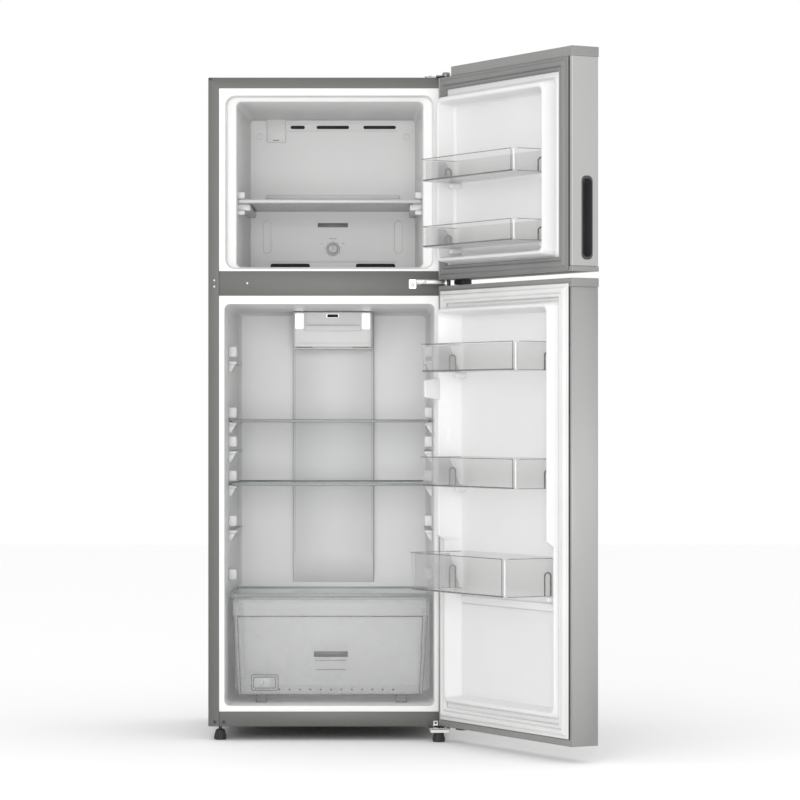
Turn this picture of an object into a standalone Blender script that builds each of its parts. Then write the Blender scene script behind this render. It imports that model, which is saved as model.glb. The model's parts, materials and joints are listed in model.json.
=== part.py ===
"""Top freezer refrigerator, standing with both doors open to its right.

Metres, +Z up, the front facing -Y. It is modelled on its floor with x = 0 in the middle of the
cabinet and y = 0 on the cabinet's front face, doors shut, then the doors are swung open and the
whole object is moved so that the origin is under the middle of its box.
"""

import math

import bmesh
import bpy
from mathutils import Matrix, Vector

# ---------------------------------------------------------------- driving dimensions
WIDTH = 0.610
DEPTH = 0.600  # cabinet only, front face to rear panel
TOP = 1.668  # cabinet top above the floor
BASE = 0.0355  # lower edge of the cabinet above the floor
FREEZER_SPACE = 0.487  # cabinet top down to the upper edge of the mullion
MULLION = 0.062  # height of the rail between the doors
DOOR_THICKNESS = 0.076
DOOR_STAND_OFF = 0.012  # cabinet face to the doors' inner plane, filled by the gaskets
DOOR_OPEN = math.radians(120.3)

# ---------------------------------------------------------------- clearances and sheets
GAP = 0.0004  # between pieces that touch
PLAY = 0.0008  # between pieces that slide or are dropped in
SHEET = 0.0008  # steel of the case and the door skins
PLATE = 0.003  # steel of the hinges
FRONT_GAP = 0.0005  # between the hinges and the cabinet's front
LINER_WALL = 0.002
STILE = 0.027  # width of the case's front return
CORNER = 0.012
CORNER_STEPS = 3
HALF = WIDTH / 2
CASE_INNER = HALF - SHEET
MULLION_HIGH = TOP - FREEZER_SPACE
MULLION_LOW = MULLION_HIGH - MULLION

# ---------------------------------------------------------------- freezer space
FREEZER_HALF = HALF - 0.0705  # half width at its mouth
FREEZER_TAPER = 0.021  # how much it narrows on each side, mouth to back
FREEZER_LOW = MULLION_HIGH + 0.015
FREEZER_HIGH = TOP - 0.062
FREEZER_DEPTH = DEPTH - 0.090
REBATE_WIDE = 0.028  # step around the freezer mouth that takes the door's dike
REBATE_HIGH = 0.017
REBATE_LOW = 0.0095
REBATE_DEEP = 0.030
THROAT = REBATE_DEEP + 0.020  # where the straight walls start
COVER_FACE = FREEZER_DEPTH - 0.080  # front of the evaporator cover
COVER_WALL = 0.0025
VENT_DROP = 0.0213  # ceiling to the upper edge of the cover's air slots
VENT = 0.009
KNOB_HEIGHT = FREEZER_LOW + 0.062
KNOB_RADIUS = 0.0185
KNOB_DEPTH = 0.014
FAN_HEIGHT = FREEZER_HIGH - 0.106
FREEZER_SHELF = FREEZER_LOW + 0.160
FREEZER_SHELF_HALF = FREEZER_HALF - 0.0235
FREEZER_SHELF_FRONT = 0.048
FREEZER_SHELF_DEPTH = COVER_FACE - FREEZER_SHELF_FRONT - 0.022
FREEZER_LEDGE_INNER = FREEZER_HALF - 0.0325

# ---------------------------------------------------------------- fridge space
FRIDGE_HALF = HALF - 0.041
FRIDGE_TAPER = 0.0115
FRIDGE_LOW = BASE + 0.052
FRIDGE_HIGH = MULLION_LOW - 0.021
FRIDGE_DEPTH = DEPTH - 0.070
DRAWER_LOW = FRIDGE_LOW + 0.020
DRAWER_HEIGHT = 0.243
CRISPER_COVER = DRAWER_LOW + DRAWER_HEIGHT + 0.008  # underside
NICHE_FRONT = DEPTH - 0.200
HUMP_FRONT = NICHE_FRONT - 0.032  # step in the fridge liner over the compressor
HUMP_TOP = CRISPER_COVER - 0.0285  # the drawer's cover reaches back over the step
NICHE_TOP = HUMP_TOP - 0.030
FLANGE_BACK = SHEET + GAP  # the liners' flanges sit just behind the front frame
DUCT_HALF = 0.107
DUCT_FACE = FRIDGE_DEPTH - 0.024
DUCT_LOW = HUMP_TOP + 0.042
OUTLET_DROPS = (0.138, 0.338, 0.538)  # ceiling to each pair of air outlets in the duct's sides
OUTLET_TALL = 0.030
OUTLET_FRONT, OUTLET_BACK = 0.0095, 0.0190  # outlets, behind the duct's face
HOUSING_HALF = 0.1045
HOUSING_HEIGHT = 0.098
HOUSING_FACE = DUCT_FACE - 0.101
HOUSING_DROP = 0.008  # from the ceiling at the mouth, which falls towards the back

# ---------------------------------------------------------------- shelves and drawer
LEDGE_INNER = FRIDGE_HALF - 0.024
LEDGE_HEIGHT = 0.018
GUIDE_HEIGHT = 0.020
GUIDE_GAP = 0.010  # room for the shelf between ledge and guide
GUIDE_LENGTH = 0.030
ROOT = 0.0008  # how far a ledge runs into the liner's wall
SHELF_HALF = FRIDGE_HALF - FRIDGE_TAPER - 0.002
SHELF_FRONT = 0.120
SHELF_DEPTH = FRIDGE_DEPTH - SHELF_FRONT - 0.040
GLASS = 0.004
TRIM_HEIGHT = 0.0068
TRIM_DEPTH = 0.014
UPPER_SHELF = FRIDGE_HIGH - 0.297  # underside of each shelf
LOWER_SHELF = UPPER_SHELF - 0.1615
SPARE_LEDGES = (  # rows with no shelf in them
    UPPER_SHELF + 0.129, UPPER_SHELF - 0.081, LOWER_SHELF - 0.0995,
)
DRAWER_WALL = 0.0025
DRAWER_HALF = FRIDGE_HALF - 0.016
DRAWER_TAPER = 0.0135
CRISPER_FRONT = 0.060
CRISPER_COVER_DEPTH = FRIDGE_DEPTH - CRISPER_FRONT - 0.075
COVER_LEDGE = 0.0035
DRAWER_DEPTH = HUMP_FRONT - CRISPER_FRONT - 0.023

# ---------------------------------------------------------------- doors, shut
DOOR_SIDE = HALF - 0.001  # half width
PIN_X = HALF - 0.012
PIN_INSET = 0.016  # pin axis in front of the doors' inner plane
PIN_RADIUS = 0.004
PIN_PLAY = 0.0005
FRIDGE_DOOR_LOW = BASE + 0.0045
FRIDGE_DOOR_HIGH = MULLION_LOW + 0.023
FREEZER_DOOR_LOW = FRIDGE_DOOR_HIGH + 0.0156
FREEZER_DOOR_HIGH = TOP + 0.019
TOP_CAP = 0.0235
FRIDGE_TOP_CAP = 0.0212
BOTTOM_CAP = 0.0165
FREEZER_BOTTOM_CAP = 0.0125
CAP_WALL = 0.0025
BOSS = 0.035  # solid end of a cap, round its hinge pin
SKIN_CORNER = 0.006
SKIN_RETURN = 0.009
GASKET_WIDE = 0.0325
GASKET_THICK = 0.0112
GASKET_SIDE = DOOR_SIDE - 0.0125  # outer half width
GASKET_LAP = 0.002  # the gasket's outer edge covers the door liner's by this much
FREEZER_SEAL_LOW = FREEZER_DOOR_LOW + 0.0029
FREEZER_SEAL_HIGH = FREEZER_DOOR_HIGH - 0.024
FRIDGE_SEAL_LOW = FRIDGE_DOOR_LOW + BOTTOM_CAP + 0.001
FRIDGE_SEAL_HIGH = FRIDGE_DOOR_HIGH - 0.013
DIKE_EDGE = 0.052  # door side to the outer foot of the liner's dike
FREE_DIKE_EDGE = 0.069  # the same at the freezer door's free side
DIKE = 0.036
FREEZER_DIKE = 0.038
LOWER_DIKE = 0.016  # below the step in the fridge door's liner
STEP_LOW = FRIDGE_LOW + 0.4185
DOOR_FLOOR = -0.010  # floor of the door liners, from the doors' inner plane
BIN_WALL = 0.0022
NOTCH = 0.060  # lowered end of the freezer door's top cap, under the top hinge
NOTCH_DEEP = 0.024
POCKET_LOW = FREEZER_DOOR_LOW + 0.0274
POCKET_HEIGHT = 0.198
POCKET_NEAR = 0.0265  # from the inner plane, towards the front
POCKET_FAR = 0.0580
POCKET_DEEP = 0.026
POCKET_WALL = 0.0015
STOP_HEIGHT = 0.011

# ---------------------------------------------------------------- feet
FOOT_RADIUS = 0.016
FOOT_TOP_RADIUS = 0.009
FOOT_HEIGHT = BASE - 0.008
STEM_RADIUS = 0.004
LEFT_FOOT = (-HALF + 0.0288, 0.030)
RIGHT_FOOT = (HALF - 0.0305, -0.027)
ROLLER_RADIUS = 0.0165
ROLLER_WIDE = 0.018
ROLLER_X = HALF - 0.065
ROLLER_Y = DEPTH - 0.040

INNER_PLANE = -DOOR_STAND_OFF
OUTER_PLANE = INNER_PLANE - DOOR_THICKNESS
PIN_Y = INNER_PLANE - PIN_INSET
POCKET_HIGH = POCKET_LOW + POCKET_HEIGHT

for old in list(bpy.data.objects):
    bpy.data.objects.remove(old)


# ---------------------------------------------------------------- materials
def finish(name, colour, roughness, metallic=0.0, alpha=1.0):
    material = bpy.data.materials.new(name)
    material.use_nodes = True
    shader = material.node_tree.nodes["Principled BSDF"]
    shader.inputs["Base Color"].default_value = (*colour, 1.0)
    shader.inputs["Roughness"].default_value = roughness
    shader.inputs["Metallic"].default_value = metallic
    shader.inputs["Alpha"].default_value = alpha
    return material


CASE_GREY = finish("case_grey", (0.20, 0.20, 0.19), 0.45, 0.3)
SKIN_STEEL = finish("skin_steel", (0.42, 0.42, 0.41), 0.35, 0.8)
BRIGHT_STEEL = finish("bright_steel", (0.70, 0.70, 0.70), 0.25, 1.0)
ZINC_STEEL = finish("zinc_steel", (0.52, 0.53, 0.53), 0.40, 0.9)
LINER_WHITE = finish("liner_white", (0.82, 0.82, 0.81), 0.35)
CAP_GREY = finish("cap_grey", (0.30, 0.30, 0.30), 0.50)
GASKET_GREY = finish("gasket_grey", (0.30, 0.30, 0.30), 0.65)
GASKET_WHITE = finish("gasket_white", (0.84, 0.84, 0.83), 0.60)
CLEAR_PLASTIC = finish("clear_plastic", (0.78, 0.79, 0.79), 0.08, 0.0, 0.35)
SHELF_GLASS = finish("shelf_glass", (0.70, 0.80, 0.77), 0.05, 0.0, 0.35)
TRIM_GREY = finish("trim_grey", (0.50, 0.51, 0.51), 0.40)
BLACK_PLASTIC = finish("black_plastic", (0.03, 0.03, 0.03), 0.55)
POCKET_BLACK = finish("pocket_black", (0.05, 0.05, 0.055), 0.40)
FOAM_YELLOW = finish("foam_yellow", (0.75, 0.66, 0.38), 0.90)
FIN_ALUMINIUM = finish("fin_aluminium", (0.75, 0.76, 0.77), 0.35, 0.9)
COPPER_TUBE = finish("painted_tube", (0.05, 0.05, 0.05), 0.50, 0.3)


# ---------------------------------------------------------------- shape helpers
def as_object(name, form, material):
    """A new object in the scene from a bmesh, which is freed."""
    mesh = bpy.data.meshes.new(name)
    form.to_mesh(mesh)
    form.free()
    made = bpy.data.objects.new(name, mesh)
    bpy.context.scene.collection.objects.link(made)
    mesh.materials.append(material)
    return made


def block(name, low, high, material, edge=0.0, along=None):
    """A box between two corners; the edges along one axis, or all of them, can be rounded."""
    form = bmesh.new()
    bmesh.ops.create_cube(form, size=1.0)
    low, high = Vector(low), Vector(high)
    bmesh.ops.scale(form, vec=high - low, verts=form.verts)
    bmesh.ops.translate(form, vec=(low + high) / 2, verts=form.verts)
    if edge > 0.0:
        chosen = [
            e for e in form.edges
            if along is None or abs((e.verts[0].co - e.verts[1].co).normalized()[along]) > 0.9
        ]
        bmesh.ops.bevel(
            form, geom=chosen, offset=edge, segments=CORNER_STEPS, profile=0.5,
            affect="EDGES", material=-1,
        )
    return as_object(name, form, material)


def rounded(low_a, high_a, low_b, high_b, radius, breaks=()):
    """Points round a rectangle with round corners, anticlockwise from its lower left corner.

    Each break adds a point on both upright sides, so that a loft can step there.
    """
    points = []
    corners = (
        (low_a + radius, low_b + radius, math.pi),
        (high_a - radius, low_b + radius, 1.5 * math.pi),
        (high_a - radius, high_b - radius, 0.0),
        (low_a + radius, high_b - radius, 0.5 * math.pi),
    )
    for number, (a, b, start) in enumerate(corners):
        for step in range(CORNER_STEPS + 1):
            turn = start + step * math.pi / 2 / CORNER_STEPS
            points.append((a + radius * math.cos(turn), b + radius * math.sin(turn)))
        if number == 1:
            points += [(high_a, b_break) for b_break in sorted(breaks)]
    points += [(low_a, b_break) for b_break in sorted(breaks, reverse=True)]
    return points


def loft(name, rings, material, wall=0.0, wall_side=-1.0, close_first=False):
    """A surface through rings of points, closed over the last ring.

    It is given a wall on one side, or closed over its first ring too.
    """
    form = bmesh.new()
    loops = [[form.verts.new(point) for point in ring] for ring in rings]
    count = len(loops[0])
    for near, far in zip(loops, loops[1:]):
        for i in range(count):
            j = (i + 1) % count
            form.faces.new((near[i], near[j], far[j], far[i]))
    form.faces.new(loops[-1])
    if close_first:
        form.faces.new(list(reversed(loops[0])))
        bmesh.ops.recalc_face_normals(form, faces=form.faces)
    made = as_object(name, form, material)
    if wall > 0.0:
        shell = made.modifiers.new("wall", "SOLIDIFY")
        shell.thickness = wall
        shell.offset = wall_side
        shell.use_even_offset = True
    return made


def prism(name, outline, low, high, material):
    """An outline in X and Y, extruded up from low to high."""
    form = bmesh.new()
    face = form.faces.new([form.verts.new((x, y, low)) for x, y in outline])
    grown = bmesh.ops.extrude_face_region(form, geom=[face])
    top = [item for item in grown["geom"] if isinstance(item, bmesh.types.BMVert)]
    bmesh.ops.translate(form, vec=(0.0, 0.0, high - low), verts=top)
    bmesh.ops.recalc_face_normals(form, faces=form.faces)
    return as_object(name, form, material)


def turned(name, profile, centre, direction, steps, material):
    """A profile of (radius, height) pairs turned about a line through centre."""
    form = bmesh.new()
    rings = [
        [
            form.verts.new((
                radius * math.cos(2 * math.pi * i / steps),
                radius * math.sin(2 * math.pi * i / steps),
                height,
            ))
            for i in range(steps)
        ]
        for radius, height in profile
    ]
    for low, high in zip(rings, rings[1:]):
        for i in range(steps):
            j = (i + 1) % steps
            form.faces.new((low[i], low[j], high[j], high[i]))
    form.faces.new(rings[-1])
    form.faces.new(list(reversed(rings[0])))
    bmesh.ops.recalc_face_normals(form, faces=form.faces)
    turn = Vector((0.0, 0.0, 1.0)).rotation_difference(Vector(direction)).to_matrix().to_4x4()
    bmesh.ops.transform(form, matrix=Matrix.Translation(centre) @ turn, verts=form.verts)
    made = as_object(name, form, material)
    made.data.shade_smooth()
    made.data.set_sharp_from_angle(angle=math.radians(35))
    return made


def rod(name, radius, start, end, material, steps=12):
    start, end = Vector(start), Vector(end)
    return turned(
        name, ((radius, 0.0), (radius, (end - start).length)), start, end - start, steps, material
    )


def combine(body, tools, operation):
    """The body after a Boolean with each tool, with the tools removed."""
    for tool in tools:
        step = body.modifiers.new("step", "BOOLEAN")
        step.operation = operation
        step.solver = "EXACT"
        step.object = tool
    graph = bpy.context.evaluated_depsgraph_get()
    mesh = bpy.data.meshes.new_from_object(body.evaluated_get(graph))
    body.modifiers.clear()
    body.data = mesh
    mesh.name = body.name
    for tool in tools:
        bpy.data.objects.remove(tool)
    return body


def unite(body, *tools):
    return combine(body, tools, "UNION")


def cut(body, *tools):
    return combine(body, tools, "DIFFERENCE")


def hole(radius, start, end, steps=12):
    return rod("hole", radius, start, end, BLACK_PLASTIC, steps)


def space(low, high, edge=0.0, along=None):
    return block("space", low, high, BLACK_PLASTIC, edge, along)


# ---------------------------------------------------------------- cabinet: case and frame
def make_outer_case():
    """Top and sides in one folded sheet, with a return round the front."""
    case = block(
        "outer_case", (-HALF, 0.0, BASE), (HALF, DEPTH, TOP), CASE_GREY
    )
    below = BASE - 0.05
    return cut(
        case,
        space((-CASE_INNER, SHEET, below), (CASE_INNER, DEPTH + 0.05, TOP - SHEET)),
        space(
            (-HALF + STILE, -0.05, below),
            (HALF - STILE, SHEET + 0.01, TOP - STILE),
        ),
    )


def make_rails():
    """The mullion between the doors, and the rail under the lower one with its bottom return."""
    half = HALF - STILE - GAP
    block("mullion_rail", (-half, 0.0, MULLION_LOW), (half, SHEET, MULLION_HIGH), CASE_GREY)
    rail = block(
        "bottom_rail", (-half, 0.0, BASE), (half, SHEET, FRIDGE_LOW - 0.0145), CASE_GREY
    )
    shelf_half = CASE_INNER - GAP
    unite(
        rail,
        block(
            "return", (-shelf_half, SHEET + GAP, BASE), (shelf_half, 0.055, BASE + 2 * SHEET),
            CASE_GREY,
        ),
        block("fold", (-half, 0.0, BASE), (half, 0.010, BASE + 2 * SHEET), CASE_GREY),
    )
    cut(
        rail,
        hole(
            STEM_RADIUS + PLAY, (*LEFT_FOOT, BASE - 0.01), (*LEFT_FOOT, BASE + 0.01)
        ),
    )


def make_back():
    """The flat rear panel, and the sheet that walls off the compressor's niche."""
    half = CASE_INNER - GAP
    block(
        "rear_panel",
        (-half, DEPTH - 0.0015, NICHE_TOP),
        (half, DEPTH - 0.0015 + SHEET, TOP - SHEET - GAP),
        ZINC_STEEL,
    )
    outer = [
        (NICHE_FRONT, BASE + 0.006), (NICHE_FRONT, NICHE_TOP - 0.060),
        (NICHE_FRONT + 0.050, NICHE_TOP - GAP), (DEPTH - 0.0020, NICHE_TOP - GAP),
    ]
    inner = [
        (DEPTH - 0.0020, NICHE_TOP - GAP - SHEET),
        (NICHE_FRONT + 0.050 + SHEET / 2, NICHE_TOP - GAP - SHEET),
        (NICHE_FRONT + SHEET, NICHE_TOP - 0.060 - SHEET / 2), (NICHE_FRONT + SHEET, BASE + 0.006),
    ]
    form = bmesh.new()
    face = form.faces.new([form.verts.new((-half, y, z)) for y, z in outer + inner])
    grown = bmesh.ops.extrude_face_region(form, geom=[face])
    moved = [item for item in grown["geom"] if isinstance(item, bmesh.types.BMVert)]
    bmesh.ops.translate(form, vec=(2 * half, 0.0, 0.0), verts=moved)
    bmesh.ops.recalc_face_normals(form, faces=form.faces)
    as_object("niche_plate", form, ZINC_STEEL)


def make_base():
    """The plate under the insulation, and the tray that carries the compressor and rollers."""
    half = CASE_INNER - GAP
    block(
        "bottom_plate", (-half, 0.058, BASE), (half, NICHE_FRONT - 0.004, BASE + SHEET), ZINC_STEEL
    )
    tray = block(
        "compressor_tray", (-half, NICHE_FRONT + 0.004, BASE),
        (half, DEPTH - 0.004, BASE + 0.0015), ZINC_STEEL,
    )
    ears = []
    for side in (-1, 1):
        for face in (-1, 1):
            x = side * ROLLER_X + face * (ROLLER_WIDE / 2 + PLAY)
            low, high = sorted((x, x + face * 0.002))
            ears.append(
                block(
                    "ear", (low, ROLLER_Y - 0.010, ROLLER_RADIUS - 0.006),
                    (high, ROLLER_Y + 0.010, BASE + 0.001), ZINC_STEEL,
                )
            )
    unite(tray, *ears)
    reach = ROLLER_WIDE / 2 + 0.006
    cut(
        tray,
        *[
            hole(
                0.0030 + PIN_PLAY,
                (side * ROLLER_X - reach, ROLLER_Y, ROLLER_RADIUS),
                (side * ROLLER_X + reach, ROLLER_Y, ROLLER_RADIUS),
            )
            for side in (-1, 1)
        ],
    )


# ---------------------------------------------------------------- cabinet: liners and foam
def frame_ring(half, low, high, y, radius):
    return [(x, y, z) for x, z in rounded(-half, half, low, high, radius)]


def ledges(inner, half_at, height, front, back, thick, guide):
    """A ledge on each side wall, reaching out to it, with a guide above it for a sliding shelf."""
    made = []
    strips = [(front, back, height - thick, height)]
    if guide > 0.0:
        base = height + GUIDE_GAP
        strips.append((front, front + GUIDE_LENGTH, base, base + guide))
    for side in (-1, 1):
        for near, far, low, high in strips:
            outline = [
                (side * inner, near), (side * inner, far),
                (side * (half_at(far) + ROOT), far), (side * (half_at(near) + ROOT), near),
            ]
            made.append(prism("ledge", outline, low, high, LINER_WHITE))
    return made


def freezer_half_at(y):
    """Half width of the freezer space at a depth behind its throat."""
    return FREEZER_HALF - FREEZER_TAPER * (y - THROAT) / (FREEZER_DEPTH - THROAT)


def fridge_half_at(y):
    return FRIDGE_HALF - FRIDGE_TAPER * y / FRIDGE_DEPTH


def make_freezer_liner():
    back_half = FREEZER_HALF - FREEZER_TAPER
    mouth_half = FREEZER_HALF + REBATE_WIDE
    low, high = FREEZER_LOW - REBATE_LOW, FREEZER_HIGH + REBATE_HIGH
    flange_half = HALF - STILE + 0.008
    liner = loft(
        "freezer_liner",
        [
            frame_ring(flange_half, MULLION_HIGH - 0.010, TOP - STILE + 0.008, FLANGE_BACK, CORNER),
            frame_ring(mouth_half, low, high, FLANGE_BACK, CORNER * 2),
            frame_ring(mouth_half - 0.005, low + 0.002, high - 0.003, REBATE_DEEP, CORNER * 2),
            frame_ring(FREEZER_HALF + 0.003, FREEZER_LOW, FREEZER_HIGH + 0.002,
                       REBATE_DEEP + 0.006, CORNER),
            frame_ring(FREEZER_HALF, FREEZER_LOW + 0.001, FREEZER_HIGH, THROAT, CORNER),
            frame_ring(back_half, FREEZER_LOW + 0.004, FREEZER_HIGH - 0.008, FREEZER_DEPTH, CORNER),
        ],
        LINER_WHITE,
        LINER_WALL,
    )
    unite(
        liner,
        *ledges(
            FREEZER_LEDGE_INNER, freezer_half_at, FREEZER_SHELF - GAP, REBATE_DEEP + 0.055,
            COVER_FACE - 0.025, LEDGE_HEIGHT, 0.0,
        ),
    )


def make_fridge_liner():
    back_half = FRIDGE_HALF - FRIDGE_TAPER
    flange_half = HALF - STILE + 0.008

    liner = loft(
        "fridge_liner",
        [
            frame_ring(flange_half, FRIDGE_LOW - 0.022, MULLION_LOW + 0.008, FLANGE_BACK, CORNER),
            frame_ring(FRIDGE_HALF + 0.0015, FRIDGE_LOW - 0.0015, FRIDGE_HIGH + 0.0015,
                       FLANGE_BACK, CORNER),
            frame_ring(FRIDGE_HALF, FRIDGE_LOW, FRIDGE_HIGH, FLANGE_BACK + 0.0015, CORNER),
            frame_ring(fridge_half_at(HUMP_FRONT), FRIDGE_LOW + 0.004, FRIDGE_HIGH - 0.005,
                       HUMP_FRONT, CORNER),
            frame_ring(fridge_half_at(HUMP_FRONT + 0.01), HUMP_TOP, FRIDGE_HIGH - 0.0052,
                       HUMP_FRONT + 0.010, CORNER),
            frame_ring(back_half, HUMP_TOP + 0.004, FRIDGE_HIGH - 0.0075, FRIDGE_DEPTH, CORNER),
        ],
        LINER_WHITE,
        LINER_WALL,
    )
    rows = []
    ledge_front = SHELF_FRONT + TRIM_DEPTH + 0.004
    ledge_back = SHELF_FRONT + SHELF_DEPTH - 0.010
    for height in (UPPER_SHELF, LOWER_SHELF, *SPARE_LEDGES):
        rows += ledges(
            LEDGE_INNER, fridge_half_at, height - GAP, ledge_front, ledge_back, LEDGE_HEIGHT,
            GUIDE_HEIGHT,
        )
    rows += ledges(
        LEDGE_INNER, fridge_half_at, CRISPER_COVER - GAP, CRISPER_FRONT + TRIM_DEPTH + 0.004,
        HUMP_FRONT - 0.010, COVER_LEDGE, 0.0,
    )
    unite(liner, *rows)


def make_insulation():
    """Foam between the case and the liners, open where the liners and the niche are."""
    half = CASE_INNER - GAP
    front = FLANGE_BACK + LINER_WALL + GAP
    spare = LINER_WALL + 0.0025
    foam = block(
        "cabinet_insulation",
        (-half, front, BASE + 0.0030),
        (half, DEPTH - 0.0085, TOP - SHEET - GAP),
        FOAM_YELLOW,
    )
    cut(
        foam,
        space(
            (-FREEZER_HALF - REBATE_WIDE - spare, -0.02, FREEZER_LOW - REBATE_LOW - spare),
            (FREEZER_HALF + REBATE_WIDE + spare, REBATE_DEEP + 0.012,
             FREEZER_HIGH + REBATE_HIGH + spare),
        ),
        space(
            (-FREEZER_HALF - 0.004 - spare, 0.02, FREEZER_LOW - spare),
            (FREEZER_HALF + 0.004 + spare, FREEZER_DEPTH + spare, FREEZER_HIGH + 0.003 + spare),
        ),
        space(
            (-FRIDGE_HALF - spare, -0.02, FRIDGE_LOW - spare),
            (FRIDGE_HALF + spare, HUMP_FRONT + 0.012 + spare, FRIDGE_HIGH + spare),
        ),
        space(
            (-FRIDGE_HALF - spare, 0.02, HUMP_TOP - 0.004 - spare),
            (FRIDGE_HALF + spare, FRIDGE_DEPTH + spare, FRIDGE_HIGH + spare),
        ),
        space(
            (-WIDTH, NICHE_FRONT - 0.002, 0.0),
            (WIDTH, DEPTH + 0.02, NICHE_TOP + 0.001),
        ),
        space((-WIDTH, -0.02, 0.0), (WIDTH, 0.060, BASE + 0.010)),
    )


# ---------------------------------------------------------------- cabinet: cooling parts
def make_evaporator_cover():
    """Panel across the back of the freezer, with its air slots and the knob's hole."""
    half = freezer_half_at(COVER_FACE + COVER_WALL) - 0.0025
    cover = block(
        "evaporator_cover",
        (-half, COVER_FACE, FREEZER_LOW + 0.006),
        (half, COVER_FACE + COVER_WALL, FREEZER_HIGH - 0.010),
        LINER_WHITE,
        0.006,
        1,
    )
    near, far = COVER_FACE - 0.01, COVER_FACE + 0.01
    vent_high = FREEZER_HIGH - VENT_DROP
    slots = [(-0.120, -0.0806), (-0.043, 0.043), (0.0806, 0.167)]
    cutters = [
        space((low, near, vent_high - VENT), (high, far, vent_high), 0.0035, 1)
        for low, high in slots
    ]
    cutters += [
        space((low, near, FREEZER_LOW + 0.014), (high, far, FREEZER_LOW + 0.014 + VENT), 0.0035, 1)
        for low, high in ((-0.165, -0.061), (0.061, 0.165))
    ]
    cutters.append(hole(0.006, (0.0, near, KNOB_HEIGHT), (0.0, far, KNOB_HEIGHT)))
    cut(cover, *cutters)


def make_knob():
    """Temperature knob with a grip bar across its face, on a short stem."""
    front = COVER_FACE - 0.0006
    knob = turned(
        "temperature_knob",
        (
            (KNOB_RADIUS, 0.0), (KNOB_RADIUS, 0.004), (KNOB_RADIUS - 0.003, 0.006),
            (KNOB_RADIUS - 0.004, KNOB_DEPTH - 0.002), (KNOB_RADIUS - 0.006, KNOB_DEPTH),
        ),
        (0.0, front, KNOB_HEIGHT), (0.0, -1.0, 0.0), 20, LINER_WHITE,
    )
    unite(
        knob,
        block(
            "grip", (-0.0035, front - KNOB_DEPTH - 0.004, KNOB_HEIGHT - 0.012),
            (0.0035, front - KNOB_DEPTH + 0.004, KNOB_HEIGHT + 0.012), LINER_WHITE,
        ),
        hole(0.0052, (0.0, front - 0.002, KNOB_HEIGHT), (0.0, front + 0.012, KNOB_HEIGHT)),
    )


def make_cold_parts():
    """Evaporator block, fan motor and fan behind the freezer's cover."""
    near = COVER_FACE + COVER_WALL + 0.014
    block(
        "evaporator", (-0.185, near, FREEZER_LOW + 0.019), (0.185, near + 0.050, FAN_HEIGHT - 0.085),
        FIN_ALUMINIUM,
    )
    motor_z = FAN_HEIGHT
    motor = rod(
        "fan_motor", 0.022, (0.0, near + 0.032, motor_z), (0.0, near + 0.056, motor_z),
        BLACK_PLASTIC, 16,
    )
    unite(
        motor,
        block(
            "bracket", (-0.075, near + 0.048, motor_z - 0.008),
            (0.075, near + 0.052, motor_z + 0.008), BLACK_PLASTIC,
        ),
    )
    hub = rod(
        "evaporator_fan", 0.016, (0.0, near + 0.004, motor_z), (0.0, near + 0.030, motor_z),
        BLACK_PLASTIC, 16,
    )
    blades = []
    blade_count = 5
    for number in range(blade_count):
        blade = block(
            "blade", (0.010, -0.0010, -0.014), (0.052, 0.0010, 0.014), BLACK_PLASTIC
        )
        lean = Matrix.Rotation(math.radians(32), 4, "X")
        spin = Matrix.Rotation(2 * math.pi * number / blade_count, 4, "Y")
        place = Matrix.Translation((0.0, near + 0.017, motor_z))
        blade.data.transform(place @ spin @ lean)
        blades.append(blade)
    unite(hub, *blades)


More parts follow.
